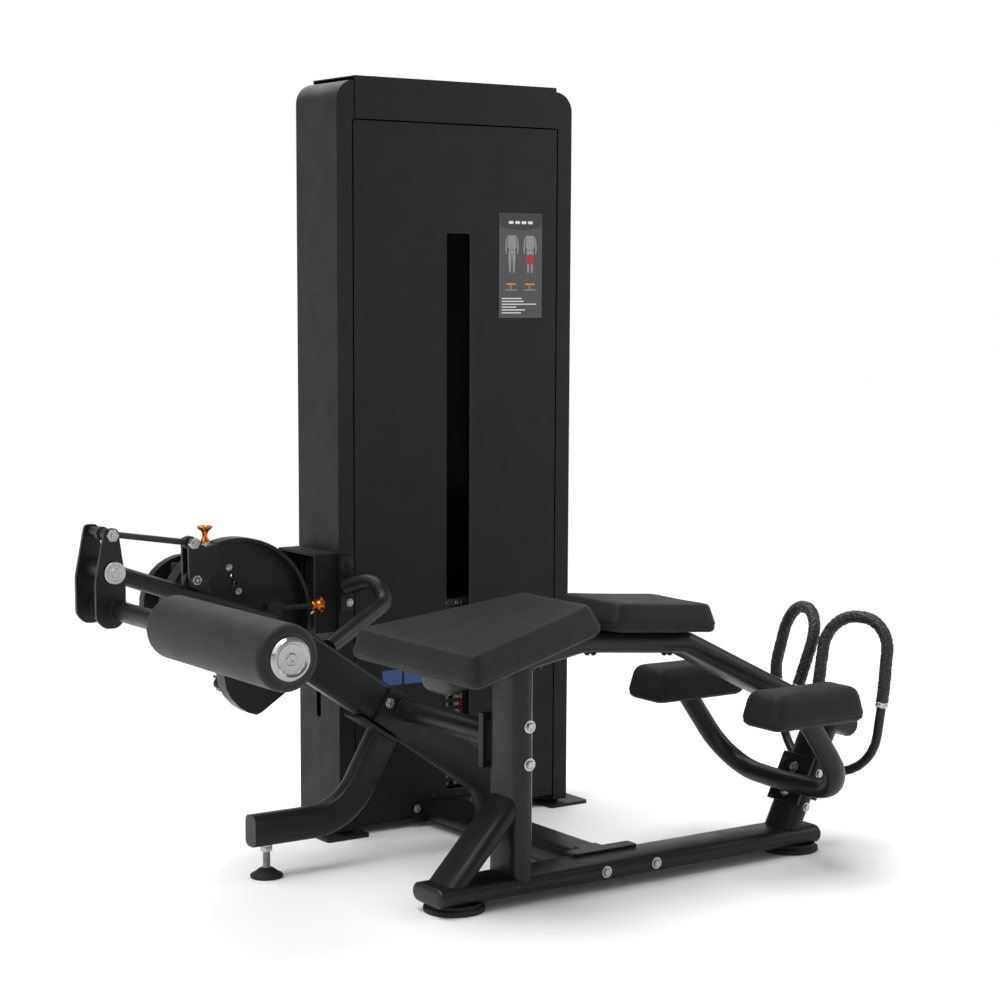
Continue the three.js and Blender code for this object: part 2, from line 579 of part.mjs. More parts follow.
function buildStack() {
  const { x, y, width, depth, z0, pitch, resting, lifted } = STACK;
  add('resting_plates', plates(resting, z0), IRON);
  add('lifted_plates', plates(lifted, z0 + resting * pitch), IRON);

  const head = block(x - width / 2, y - depth / 2, HEAD_Z, x + width / 2, y + depth / 2, HEAD_Z + 18);
  const stem = rod(v(x, y, z0 + 20), v(x, y, HEAD_Z + 79), 13, 20);
  const headBores = [-1, 1].map((s) => rod(v(x + s * ROD_OFFSET, y, HEAD_Z - 5),
    v(x + s * ROD_OFFSET, y, HEAD_Z + 30), 14.5, 16));
  const cableBore = rod(v(x, y, HEAD_Z - 260), v(x, y, HEAD_Z + 90), CABLE + 2, 10);
  const pinHoles = [];
  for (let i = 0; i < resting + lifted; i += 1) {
    const z = z0 + (i + 0.5) * pitch - 0.8;
    if (z > z0 + 25) pinHoles.push(rod(v(x, y - 30, z), v(x, y, z), 5.2, 8));
  }
  add('stack_head', cut(join(head, stem), cableBore, ...headBores, ...pinHoles), IRON);

  add('selector_pin', turned([[0, 0], [4.6, 0], [4.6, 66], [9, 66], [9, 78], [15, 82], [15, 108],
    [11, 112], [0, 112]],
    v(x, y - CABLE - 4, PIN_Z), v(0, -1, 0), 16), ORANGE);
  for (const [name, s] of [['stack_buffer_left', -1], ['stack_buffer_right', 1]]) {
    const bx = x + s * ROD_OFFSET;
    add(name, cut(turned([[0, 0], [24, 0], [24, 20 - 2 * GAP], [0, 20 - 2 * GAP]], v(bx, y, 60 + GAP),
      v(0, 0, 1), 16),
      rod(v(bx, y, 50), v(bx, y, 90), 14, 12)), FOOT_RUBBER);
  }
}

// ---------------------------------------------------------------- cable and pulleys
function arcPoints(centre, radius, from, to, steps) {
  return Array.from({ length: steps + 1 }, (_, i) => {
    const t = THREE.MathUtils.degToRad(from + ((to - from) * i) / steps);
    return v(centre.x + radius * Math.cos(t), CABLE_Y, centre.z + radius * Math.sin(t));
  });
}

function cableRoute() {
  const drum = DRUM_RADIUS + CABLE + GAP;
  const [dx, dz] = [INNER.x - PIVOT.x, INNER.z - PIVOT.z];
  const leave = THREE.MathUtils.radToDeg(Math.atan2(dz, dx) - Math.acos((drum - WRAP) / Math.hypot(dx,
    dz)));
  return [...arcPoints(PIVOT, drum, leave - 16, leave, 3), ...arcPoints(INNER, WRAP, leave, 0, 7),
    ...arcPoints(TOP_LEFT, WRAP, 180, 90, 8), ...arcPoints(TOP_RIGHT, WRAP, 90, 0, 8),
      v(STACK.x, CABLE_Y, HEAD_Z + 60)];
}

function pulley(centre) {
  const { groove, flange, width } = PULLEY;
  const bore = 8;
  const profile = [[bore, 0], [flange, 0], [flange, 3], [groove, 7], [groove, width - 7],
    [flange, width - 3], [flange, width],
    [bore, width], [bore, 0]];
  return turned(profile, v(centre.x, CABLE_Y - width / 2, centre.z), v(0, 1, 0), 24);
}

function buildCable() {
  add('drive_cable', sweep(cableRoute(), roundSection(CABLE, 8), SIDE_Y), NYLON);
  add('side_pulley', pulley(INNER), NYLON);
  add('top_pulley_left', pulley(TOP_LEFT), NYLON);
  add('top_pulley_right', pulley(TOP_RIGHT), NYLON);
  const plate = block(INNER.x - 50, 108, INNER.z - 40, INNER.x + 40, 120 - GAP, INNER.z + 40);
  add('side_pulley_bracket', join(plate, rodY(INNER.x, INNER.z, 76, 112, 8 - GAP),
    rodY(INNER.x, INNER.z, 102, 112, 15)),
    FRAME_BLACK);
  const sleeve = plateYZ(roundedOutline([[8, 500], [186, 500], [186, 690], [8, 690]], 6), -60, -GAP, 4);
  add('drive_box', cut(sleeve, block(-65, 14, 506, 5, 180, 684)), FRAME_BLACK);
}

// ---------------------------------------------------------------- movement arm
// everything on the knee axis: shaft, rear drum, belt lobe, start plate and counterweight
const SHAFT = { radius: 20, y0: -262, y1: 112 };

function buildCam() {
  const shaft = turned([[0, 0], [SHAFT.radius, 0], [SHAFT.radius, SHAFT.y1 - SHAFT.y0],
    [0, SHAFT.y1 - SHAFT.y0]],
    v(PIVOT.x, SHAFT.y0, PIVOT.z), v(0, 1, 0), 24);
  const hub = rodY(PIVOT.x, PIVOT.z, -78, -30, 44, 24);
  add('pivot_shaft', join(shaft, hub), IRON);

  const drum = [[SHAFT.radius + GAP, 0], [DRUM_RADIUS + 10, 0], [DRUM_RADIUS + 10, 4],
    [DRUM_RADIUS, 8], [DRUM_RADIUS, 22],
    [DRUM_RADIUS + 10, 26], [DRUM_RADIUS + 10, 30], [SHAFT.radius + GAP, 30], [SHAFT.radius + GAP, 0]];
  add('cable_drum', turned(drum, v(PIVOT.x, CABLE_Y - 15, PIVOT.z), v(0, 1, 0), 32), IRON);

  // start plate: a dish open towards the bench, cut away below the arm, with a counterweight under the
  // axis
  const rimOuter = plateXZ(disc(CAM.x, CAM.z, CAM.radius), -62, -22, 30);
  const rimInner = plateXZ(disc(CAM.x, CAM.z, CAM.radius - 8), -80, -32, 30);
  const below = plateXZ(outline([[-700, 640], [-500, 640], [-392, 500], [-330, 425], [-175, 384],
    [0, 440], [0, 200], [-700, 200]]),
    -80, 0);
  const notch = rodY(-362, 748, -80, 0, 13, 14);
  const holes = [0, 1, 2, 3].map((i) => rodY(-308 + 8 * i, 680 - 19 * i, -80, 0, 4.5, 8));
  const hubBore = rodY(PIVOT.x, PIVOT.z, -100, 50, 44 + GAP, 24);
  const weightOutline = [[-345, 470], [-337, 426], [-333, 405], [-321, 383], [-300, 360], [-277, 345],
    [-257, 338], [-244, 342], [-175, 386], [-150, 470]];
  const weight = plateXZ(outline(weightOutline), -62, -22);
  add('start_plate', cut(join(cut(rimOuter, rimInner, below), weight), notch, hubBore, ...holes),
    FRAME_BLACK);

  const lobe = strapOutline({ x: PIVOT.x, z: PIVOT.z }, 78, LOBE, LOBE.radius, 18);
  const lobeBore = rodY(PIVOT.x, PIVOT.z, 0, 90, SHAFT.radius + GAP, 24);
  add('rear_lobe', cut(plateXZ(lobe, 36, 60, 4), lobeBore), FRAME_BLACK);
}

function buildArm() {
  const slope = Math.atan2(564 - ARM_END.z, PIVOT.x - ARM_END.x);
  const along = v(Math.cos(slope), 0, Math.sin(slope));
  const start = v(ARM_END.x, ARM_Y, ARM_END.z);
  const tube = sweep([start, start.clone().addScaledVector(along, 436)], roundSection(20, 18), SIDE_Y);
  const boss = rodY(ARM_END.x, ARM_END.z, -150, -86, 22, 20);
  const hub = rodY(PIVOT.x, PIVOT.z, -152, -84, 38, 24);
  const web = plateXZ(outline([[-330, 592], [-285, 505], [-250, 480], [-222, 505], [-205, 548]]), -128,
    -108);
  const lug = plateXZ(roundedOutline([[-478, 640], [-458, 690], [-424, 690], [-386, 616]], 10), -124,
    -112, 4);
  const socket = block(-262, -132, 560, -226, -104, 604);
  const bores = [rodY(ARM_END.x, ARM_END.z, -200, 0, 10.4), rodY(PIVOT.x, PIVOT.z, -200, 0,
    SHAFT.radius + 0.5, 24),
    rodY(LEVER.x, LEVER.z, -200, 0, 7.4), rod(v(-240, ARM_Y, 590), v(0, ARM_Y, 590), 6.4)];
  add('movement_arm', cut(join(tube, boss, hub, web, lug, socket), ...bores), FRAME_BLACK);

  add('start_pin', turned([[0, 0], [6, 0], [6, 96], [10, 100], [15, 106], [18, 114], [14, 122], [0, 124]],
    v(-236, ARM_Y, 590), v(1, 0, 0), 14), ORANGE);
}

function buildAdjuster() {
  const top = { x: ARM_END.x + CRANK.x, z: ARM_END.z + CRANK.z };
  const side = roundedOutline([[top.x - 15, top.z + 15], [top.x + 15, top.z + 15], [-629, 690],
    [-629, 606], [-648, 586],
    [-678, 586], [-698, 606], [-698, 690]], 10);
  const frame = join(plateXZ(side, -170, -162, 3), plateXZ(side, -68, -60, 3),
    rodY(ROLLER.x, ROLLER.z, ROLLER.y0 + 2, -62, ROLLER.core, 20),
      rodY(ARM_END.x, ARM_END.z, -164, -66, 10, 16),
    rodY(ARM_END.x, ARM_END.z, -176, -168, 24, 20), rodY(top.x, top.z, -176, -54, 6, 14));
  add('roller_frame', frame, FRAME_BLACK);

  const tip = { x: LEVER.x + CRANK.x, z: LEVER.z + CRANK.z };
  const cheek = roundedOutline([[LEVER.x - 14, LEVER.z - 16], [LEVER.x + 24, LEVER.z - 18],
    [LEVER.x + 58, LEVER.z + 20],
    [LEVER.x + 52, LEVER.z + 78], [LEVER.x + 20, LEVER.z + 66], [tip.x + 13, tip.z + 12],
      [tip.x - 11, tip.z + 10]], 8);
  const lever = join(plateXZ(cheek, -138, -130, 3), plateXZ(cheek, -106, -98, 3),
    rodY(tip.x, tip.z, -144, -92, 6, 14),
    rodY(LEVER.x, LEVER.z, -146, -90, 7, 14), block(LEVER.x + 18, -132, LEVER.z + 34, LEVER.x + 50,
      -104, LEVER.z + 68));
  add('adjuster_lever', cut(lever, rod(v(LEVER.x + 34, ARM_Y, LEVER.z + 20),
    v(LEVER.x + 34, ARM_Y, LEVER.z + 90), 5.4)),
    FRAME_BLACK);
  add('pop_pin', turned([[0, 0], [5, 0], [5, 42], [12, 46], [12, 54], [8, 62], [9, 72], [17, 84],
    [17, 88], [0, 88]],
    v(LEVER.x + 34, ARM_Y, LEVER.z + 30), v(0, 0, 1), 14), ORANGE);

  const eyes = [rodY(top.x, top.z, ARM_Y - 8, ARM_Y + 8, 15),
    rodY(tip.x, tip.z, ARM_Y - 8, ARM_Y + 8, 15)];
  const bar = rod(v(top.x, ARM_Y, top.z), v(tip.x, ARM_Y, tip.z), 7, 12);
  const eyeBores = [rodY(top.x, top.z, -200, 0, 9.5), rodY(tip.x, tip.z, -200, 0, 6.6)];
  add('link_rod', cut(join(bar, ...eyes), ...eyeBores), IRON);

  const { x, z, y0, y1, radius, core } = ROLLER;
  const long = y1 - y0;
  const foam = [[core + 0.5, 0], [radius - 12, 0], [radius - 3, 4], [radius, 13], [radius, long - 13],
    [radius - 3, long - 4],
    [radius - 12, long], [core + 0.5, long], [core + 0.5, 0]];
  const cap = [[0, -13], [20, -12], [37, -8], [41, -4], [41, -GAP], [0, -GAP]];
  add('roller_foam', turned(foam, v(x, y0, z), v(0, 1, 0), 32), PAD_VINYL);
  add('roller_cap', turned(cap, v(x, y0, z), v(0, 1, 0), 28), CHROME);
}

// entry loop tube from the tower to the pivot beam
function buildLoop() {
  const corners = [v(15, -4, 609), v(57, -72, 636), v(64, -112, 582), v(-152, LEG_Y + 10, 506)];
  const tube = sweep(bentPath(corners, 45), roundSection(20, 16), SIDE_DIAGONAL);
  const plate = plateXZ(roundedOutline([[1, 551], [36, 551], [36, 683], [1, 683]], 6), -8, -GAP, 4);
  add('entry_loop', cut(join(tube, plate), pivotBeam(GAP), block(-60, -GAP, 500, 150, 60, 720)),
    FRAME_BLACK);
}

buildBench();
buildHeadEnd();
buildPads();
buildTower();
buildStack();
buildCable();
buildCam();
buildArm();
buildAdjuster();
buildLoop();

// ---------------------------------------------------------------- shared frame: middle of the
// footprint, on the floor
const bounds = new THREE.Box3().setFromObject(machine);
const shift = bounds.getCenter(v(0, 0, 0)).negate();
shift.z = -bounds.min.z;
machine.children.forEach((mesh) => mesh.geometry.translate(shift.x, shift.y, shift.z));

export default machine;
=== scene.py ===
"""Looks of the lying leg curl machine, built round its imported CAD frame. Metres, +Z up.

+X runs along the bench towards the head end and +Y from the bench to the weight tower. Places are given in
millimetres from the tower's left front bottom corner, and at() turns them into the row frame.
"""

import json
import math

import bmesh
import bpy
from mathutils import Matrix, Quaternion, Vector, noise


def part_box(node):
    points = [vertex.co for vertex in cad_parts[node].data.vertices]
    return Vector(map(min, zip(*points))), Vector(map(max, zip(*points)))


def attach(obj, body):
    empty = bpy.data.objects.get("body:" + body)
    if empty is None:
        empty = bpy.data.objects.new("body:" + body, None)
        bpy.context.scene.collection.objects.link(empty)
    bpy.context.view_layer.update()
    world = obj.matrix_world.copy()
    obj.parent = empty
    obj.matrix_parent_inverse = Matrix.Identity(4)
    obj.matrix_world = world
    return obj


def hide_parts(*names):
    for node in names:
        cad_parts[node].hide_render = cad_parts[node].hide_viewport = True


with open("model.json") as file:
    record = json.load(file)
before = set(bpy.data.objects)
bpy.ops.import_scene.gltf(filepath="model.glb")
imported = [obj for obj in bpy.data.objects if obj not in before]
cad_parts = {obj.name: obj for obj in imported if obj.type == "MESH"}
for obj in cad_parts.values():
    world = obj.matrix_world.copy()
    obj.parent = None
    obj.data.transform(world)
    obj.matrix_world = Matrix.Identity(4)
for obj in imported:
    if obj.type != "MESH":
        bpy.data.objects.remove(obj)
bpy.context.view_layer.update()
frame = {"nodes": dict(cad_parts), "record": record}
NODES = frame["nodes"]
BODIES = frame["record"]["behaviour"]["bodies"]
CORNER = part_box("side_shell_left")[0]
MM = 0.001


def at(x, y, z):
    """A point in millimetres from the tower's left front bottom corner, in the row frame."""
    return Vector((CORNER.x + x * MM, CORNER.y + y * MM, z * MM))


# ---------------- driving dimensions, as the CAD has them
BENCH_Y = -675
LEG_Y = -222
ARM_Y = -118
PIVOT = (-250, 516)
POST_FOOT_X = 810
POST_LEAN = 0.488                                    # along for each unit up
BRACE_FALL = 0.68                                    # down for each unit along
TOWER_DEPTH = 190
ARM_END = (-655, 706)
LEVER = (-446, 673)
CRANK = (-5, 81)
ROLLER = {"x": -644, "z": 623, "y0": -914, "y1": -427, "radius": 66, "core": 22}
STACK = {"x": 337, "front": 30, "z0": 80, "pitch": 18.15, "resting": 19, "lifted": 6}
PLATE_DROP = 0.8                                     # from mid pitch down to a plate's pin hole
SLOT = {"x0": 301, "x1": 373, "z0": 80, "z1": 1445}
INK_THICK = 0.15
PLACARD = {"x0": 455, "x1": 583, "z0": 1240, "z1": 1494, "y": -1.8}
GRIP = {"radius": 14.3, "inner_z": 384, "outer_z": 372, "top_z": 535}
HANDLE_CORNERS = [(868, 40, 336), (929, 11, 557), (975, 170, 557),        # along, out from the middle, up
                  (944, 188, 400), (950, 152, 208), (908, 8, 174)]
HANDLE_BENDS = [77, 77, 150, 125]
FOOT_X = {"base_foot_left": -116, "base_foot_right": 834}
LEG_FOOT_X = -318
BASE = {"x0": -180, "x1": 876, "z": 41, "width": 119, "height": 41}
START_PIN = (-236, 590)
START_HOLES = [(-308 + 8 * i, 680 - 19 * i) for i in range(4)]
START_PLATE_Y = -31.8
PADS = {
    "thigh_pad": {"origin": (-227, 585.5), "slope": 10.0, "thick": 70},
    "chest_pad": {"origin": (232, 645), "slope": -4.7, "thick": 62},
    "elbow_pad_near": {"origin": (546, 432), "slope": 0.0, "thick": 79},
    "elbow_pad_far": {"origin": (546, 432), "slope": 0.0, "thick": 79},
}
PAD_SHRINK = 0.6                                     # the cover starts this far inside the CAD pad
PAD_SWELL = 2.0                                      # the most that stuffing may push it out
HELD_BAND = 9                                        # height of the rim stapled to the board
SEAM_RISE = 15                                       # height of the lower seam above the board
VOXEL = 3.5
WELD_GAP = 0.00002                                   # metres, for facets that share a corner
SHARP = 32                                           # degrees, above which an edge stays sharp


BEAM = [(-200, 489.5), (190, 557), (479, 531), (985, 284)]     # middle line of the main beam, along and up
BEAM_HALF = 25.4
STOP = at(-312, -2, 413)                             # seat of the stop bumper on the cam
STOP_OUT = Vector((-0.49, 0, -0.87)).normalized()
SKY_FADE = (0.13, 0.28, 1.0, 0.28)                   # height of the fade, from and to, and the two strengths
CAMERA = {"place": (-2693.6, -4589.3, 1324.6), "forward": (0.5619, 0.8169, -0.1302), "roll": 0.26,
          "lens": 81.4, "shift": 0.08}
OUT, BACK, UP = Vector((0, -1, 0)), Vector((0, 1, 0)), Vector((0, 0, 1))      # out is towards the bench


# ---------------- materials
class Shader:
    """A material's node tree, with the few steps that every finish here shares."""

    def __init__(self, name, colour, roughness, metallic=0.0, specular=0.5):
        self.material = bpy.data.materials.new(name)
        self.material.use_nodes = True
        self.tree = self.material.node_tree
        self.surface = self.tree.nodes["Principled BSDF"]
        self.surface.inputs["Base Color"].default_value = (*colour, 1)
        self.surface.inputs["Roughness"].default_value = roughness
        self.surface.inputs["Metallic"].default_value = metallic
        self.surface.inputs["Specular IOR Level"].default_value = specular
        self.place = self.node("TexCoord").outputs["Object"]
        self.normal = None
        self.colour = colour

    def node(self, kind, **settings):
        made = self.tree.nodes.new("ShaderNode" + kind)
        for key, value in settings.items():
            setattr(made, key, value)
        return made

    def link(self, source, target):
        self.tree.links.new(source, target)

    def noise(self, scale, detail=3.0, stretch=(1, 1, 1)):
        """A noise pattern with about `scale` features in a metre, from 0 to 1."""
        mapping = self.node("Mapping")
        mapping.inputs["Scale"].default_value = stretch
        self.link(self.place, mapping.inputs["Vector"])
        made = self.node("TexNoise")
        made.inputs["Scale"].default_value = scale
        made.inputs["Detail"].default_value = detail
        self.link(mapping.outputs["Vector"], made.inputs["Vector"])
        return made.outputs["Fac"]

    def cells(self, scale):
        made = self.node("TexVoronoi", feature="DISTANCE_TO_EDGE")
        made.inputs["Scale"].default_value = scale
        self.link(self.place, made.inputs["Vector"])
        return made.outputs["Distance"]

    def spread(self, source, low, high, start=0.3, end=0.7):
        """Maps a pattern's start..end onto low..high."""
        made = self.node("MapRange")
        for socket, value in zip(("From Min", "From Max", "To Min", "To Max"), (start, end, low, high)):
            made.inputs[socket].default_value = value
        self.link(source, made.inputs["Value"])
        return made.outputs["Result"]

    def tint(self, factor, other):
        """Mixes the base colour towards `other` where factor is 1."""
        mix = self.node("Mix", data_type="RGBA")
        base = self.surface.inputs["Base Color"]
        if base.is_linked:
            self.link(base.links[0].from_socket, mix.inputs["A"])
        else:
            mix.inputs["A"].default_value = (*self.colour, 1)
        mix.inputs["B"].default_value = (*other, 1)
        self.link(factor, mix.inputs["Factor"])
        self.link(mix.outputs["Result"], base)
        return self

    def mottle(self, scale, amount, detail=4.0):
        """Slow variation of the colour, lighter and darker."""
        lighter = tuple(c * (1 + amount) for c in self.colour)
        return self.tint(self.spread(self.noise(scale, detail), 0, 1), lighter)

    def gloss(self, low, high, scale, detail=4.0, stretch=(1, 1, 1)):
        """Roughness that varies between low and high."""
        pattern = self.spread(self.noise(scale, detail, stretch), low, high)
        self.link(pattern, self.surface.inputs["Roughness"])
        return self

    def rounding(self, radius):
        """Softens sharp edges in the shading by this radius in metres."""
        made = self.node("Bevel", samples=6)
        made.inputs["Radius"].default_value = radius
        self.normal = made.outputs["Normal"]
        self.link(self.normal, self.surface.inputs["Normal"])
        return self

    def worn_edges(self, colour):
        """Shows `colour` along sharp edges, broken up by noise. It follows rounding()."""
        flat = self.node("NewGeometry").outputs["Normal"]
        dot = self.node("VectorMath", operation="DOT_PRODUCT")
        self.link(self.normal, dot.inputs[0])
        self.link(flat, dot.inputs[1])
        edge = self.spread(dot.outputs["Value"], 1, 0, 0.88, 0.995)
        product = self.node("Math", operation="MULTIPLY")
        self.link(edge, product.inputs[0])
        self.link(self.spread(self.noise(55, 6), 0, 0.7, 0.48, 0.7), product.inputs[1])
        return self.tint(product.outputs["Value"], colour)

    def bump(self, pattern, distance, strength=1.0):
        """Relief of this depth in metres, on top of what is there."""
        made = self.node("Bump")
        made.inputs["Distance"].default_value = distance
        made.inputs["Strength"].default_value = strength
        self.link(pattern, made.inputs["Height"])
        if self.normal is not None:
            self.link(self.normal, made.inputs["Normal"])
        self.normal = made.outputs["Normal"]
        self.link(self.normal, self.surface.inputs["Normal"])
        return self


def grain(scale, detail, depth, strength=1.0, stretch=(1, 1, 1)):
    """A step of relief from a noise pattern; depth in metres."""
    return lambda s: s.bump(s.noise(scale, detail, stretch), depth, strength)


def leather(scale):
    """A step of relief like the grain of leather."""
    return lambda s: s.bump(s.cells(scale), 0.00022)


def finish(name, colour, gloss, mottle=None, relief=(), metallic=0.0, specular=0.5, edge=0.0, worn=None,
           also=()):
    """A material. gloss is (low, high, scale), mottle (scale, amount), worn the colour of rubbed edges."""
    s = Shader(name, colour, gloss[0], metallic, specular)
    if edge:
        s.rounding(edge)
    if worn:
        s.worn_edges(worn)
    if mottle:
        s.mottle(*mottle)
    s.gloss(*gloss)
    for step in relief:
        step(s)
    for socket, value in also:
        s.surface.inputs[socket].default_value = value
    return s.material


def vinyl(name, colour, gloss, specular, cells):
    """Upholstery vinyl: fine leather grain, soft creases and handling marks."""
    relief = [leather(cells), grain(38, 4, 0.0006, 0.5)]
    sheen = [("Sheen Weight", 0.04), ("Sheen Roughness", 0.5)]
    return finish(name, colour, gloss, (6, 0.3), relief, specular=specular, also=sheen)


def rubber(name, colour, roughness):
    gloss = (roughness - 0.08, roughness + 0.08, 60)
    return finish(name, colour, gloss, (30, 0.4), [grain(900, 3, 0.00015)], specular=0.35)


def plated(name, colour, low, high):
    """Plated steel with faint handling marks."""
    return finish(name, colour, (low, high, 140), (40, 0.12), [grain(520, 3, 0.00005)], 1.0, edge=0.0006)


def ink(name, colour, roughness=0.5):
    """Printed ink or film, with a little tooth."""
    gloss = (roughness - 0.06, roughness + 0.06, 50)
    return finish(name, colour, gloss, (90, 0.12), [grain(1500, 2, 0.00003)], specular=0.3)


RUBBED = (0.04, 0.04, 0.042)                         # black coat worn thin on an edge
FINISHES = {
    "frame_black": finish("satin_powder_coat", (0.0078, 0.008, 0.0086), (0.3, 0.42, 24), (7, 0.35),
                          [grain(620, 2, 0.00016), grain(90, 3, 0.00012)], specular=0.27, edge=0.0018,
                          worn=RUBBED),
    "panel_black": finish("matt_sheet_coat", (0.008, 0.0081, 0.0088), (0.44, 0.56, 14), (3, 0.25),
                          [grain(1400, 2, 0.00009), grain(12, 2, 0.0003, 0.4)], specular=0.2, edge=0.0015,
                          worn=RUBBED),
    "pad_vinyl": vinyl("pad_vinyl_black", (0.0115, 0.0115, 0.012), (0.5, 0.62, 16), 0.14, 420),
    "roller_foam": vinyl("roller_vinyl_black", (0.014, 0.014, 0.015), (0.5, 0.6, 16), 0.2, 520),
    "grip_rubber": rubber("grip_rubber_black", (0.016, 0.016, 0.016), 0.42),
    "foot_rubber": rubber("foot_rubber_black", (0.008, 0.008, 0.008), 0.65),
    "zinc": plated("zinc_plate", (0.42, 0.42, 0.41), 0.24, 0.38),
    "chrome": plated("bright_chrome", (0.34, 0.34, 0.35), 0.14, 0.26),
    "cast_iron": finish("coated_cast_iron", (0.02, 0.02, 0.021), (0.48, 0.66, 60), (25, 0.6),
                        [grain(260, 4, 0.0003)], 0.2, 0.4, 0.001, (0.12, 0.12, 0.12)),
    "orange_knob": finish("orange_anodised", (0.62, 0.16, 0.018), (0.2, 0.34, 120), (60, 0.15),
                          [grain(900, 2, 0.00003, stretch=(1, 1, 6))], 1.0, edge=0.0006,
                          worn=(0.8, 0.45, 0.2)),
    "nylon": finish("black_nylon", (0.008, 0.008, 0.0085), (0.34, 0.48, 80), (30, 0.3),
                    [grain(1100, 2, 0.00006)], specular=0.4, edge=0.0008),
    "placard_film": ink("placard_grey", (0.075, 0.075, 0.08)),
    "clear_cover": finish("clear_cover", (0.97, 0.98, 0.98), (0.01, 0.04, 30), specular=0.15,
                          also=[("Transmission Weight", 1.0), ("IOR", 1.06)]),
}
INKS = {
    "white": ink("ink_white", (0.72, 0.72, 0.72)),
    "grey": ink("ink_grey", (0.26, 0.26, 0.27)),
    "slate": ink("ink_slate", (0.042, 0.041, 0.048)),
    "red": ink("ink_red", (0.42, 0.02, 0.05)),
    "amber": ink("ink_amber", (0.6, 0.25, 0.03)),
    "blue": ink("ink_blue", (0.045, 0.1, 0.26)),
    "green": ink("ink_green", (0.01, 0.16, 0.08)),
}
BOARD = finish("backing_board", (0.02, 0.018, 0.016), (0.62, 0.8, 40), (18, 0.8),
               [grain(160, 4, 0.0003, stretch=(0.1, 1, 1))], specular=0.25)
# Pale colour on the drive cable: a painted highlight standing in for the shine along a glossy black cable.
CABLE_PAINTED_HIGHLIGHT = finish("cable_painted_highlight", (0.75, 0.75, 0.76), (0.2, 0.32, 50), (20, 0.2),
                [grain(700, 2, 0.0001, stretch=(1, 1, 0.4))])
# Near-black for the drive box: its own black plastic, darkened further as painted shade of the side opening
# round it.
BOX_BLACK_AND_PAINTED_SHADE = ink("sleeve_black", (0.003, 0.003, 0.0032), 0.7)
PALE_FLOOR = finish("pale_floor", (0.93, 0.93, 0.93), (0.8, 0.9, 3), (0.7, 0.02),
                    [grain(60, 3, 0.0003, 0.2)], specular=0.1)


# ---------------- mesh tools
def bridge(bm, first, second):
    """Joins two rings of vertices; a ring of one vertex is a pole."""
    count = max(len(first), len(second))
    for i in range(count):
        j = (i + 1) % count
        corners = []
        for ring, k in ((first, i), (first, j), (second, j), (second, i)):
            vertex = ring[k % len(ring)]
            if vertex not in corners:
                corners.append(vertex)
        bm.faces.new(corners)


def turned(bm, profile, origin, axis, steps=48, ripple=None):
    """Turns (radius, height) pairs in millimetres round an axis. A profile off the axis closes on itself."""
    basis = Vector(axis).normalized().to_track_quat("Z", "Y").to_matrix()
    rings = []
    for k, (radius, height) in enumerate(profile):
        if radius == 0:
            rings.append([bm.verts.new(origin + basis @ Vector((0, 0, height * MM)))])
            continue
        ring = []
        for i in range(steps):
            angle = 2 * math.pi * i / steps
            reach = radius * MM * (1 + (ripple(k, angle) if ripple else 0))
            spoke = Vector((reach * math.cos(angle), reach * math.sin(angle), height * MM))
            ring.append(bm.verts.new(origin + basis @ spoke))
        rings.append(ring)
    if profile[0][0]:
        rings.append(rings[0])
    for first, second in zip(rings, rings[1:]):
        bridge(bm, first, second)


def swept(bm, path, radius_at, steps):
    """A closed tube along a path of row frame points. radius_at gives metres for a point and an angle."""
    side = Vector((0.6, 0.1, 0.5))
    rings = []
    for i, point in enumerate(path):
        along = (path[min(i + 1, len(path) - 1)] - path[max(i - 1, 0)]).normalized()
        first = (side - along * side.dot(along)).normalized()
        second = along.cross(first)
        ring = []
        for j in range(steps):
            angle = 2 * math.pi * j / steps
            spoke = first * math.cos(angle) + second * math.sin(angle)
            ring.append(bm.verts.new(point + spoke * radius_at(i, point, spoke)))
        rings.append(ring)
    for first, second in zip(rings, rings[1:]):
        bridge(bm, first, second)
    bm.faces.new(rings[0])
    bm.faces.new(rings[-1])


def slab(bm, outline, depth, place, edge=0.0):
    """An outline of (u, v) millimetres raised by depth, put by place(u, v, w); edge bevels its rims."""
    base = [bm.verts.new(place(u, v, 0)) for u, v in outline]
    top = [bm.verts.new(place(u, v, depth)) for u, v in outline]
    faces = [bm.faces.new(base), bm.faces.new(top)]
    bridge(bm, base, top)
    if edge:
        rims = {e for face in faces for e in face.edges}
        bmesh.ops.bevel(bm, geom=list(rims), offset=edge * MM, segments=2, affect="EDGES", profile=0.5)


def rounded(x0, z0, x1, z1, radius, steps=5):
    """The outline of a rectangle with round corners."""
    points = []
    for cx, cz, start in ((x1, z1, 0), (x0, z1, 90), (x0, z0, 180), (x1, z0, 270)):
        inner_x = cx - radius if cx == x1 else cx + radius
        inner_z = cz - radius if cz == z1 else cz + radius
        for i in range(steps + 1):
            angle = math.radians(start + 90 * i / steps)
            points.append((inner_x + radius * math.cos(angle), inner_z + radius * math.sin(angle)))
    return points


def link(thing):
    bpy.context.scene.collection.objects.link(thing)


def mesh_object(name, bm, material):
    bmesh.ops.recalc_face_normals(bm, faces=bm.faces)
    mesh = bpy.data.meshes.new(name)
    bm.to_mesh(mesh)
    bm.free()
    mesh.materials.append(material)
    made = bpy.data.objects.new(name, mesh)
    link(made)
    return made


def piece(name, bm, material, body, sharp=SHARP):
    """An object that rides its body, shaded smooth up to the sharp angle."""
    made = mesh_object(name, bm, material)
    made.data.shade_smooth()
    made.data.set_sharp_from_angle(angle=math.radians(sharp))
    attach(made, body)
    return made


def in_finish(name, bm, slot, body, sharp=SHARP):
    return piece(name, bm, FINISHES[slot], body, sharp)


def lathe(name, slot, body, shape, origin, axis, steps, ripple=None, sharp=SHARP):
    """One turned piece in its finish."""
    bm = bmesh.new()
    turned(bm, shape, origin, axis, steps, ripple)
    return in_finish(name, bm, slot, body, sharp)


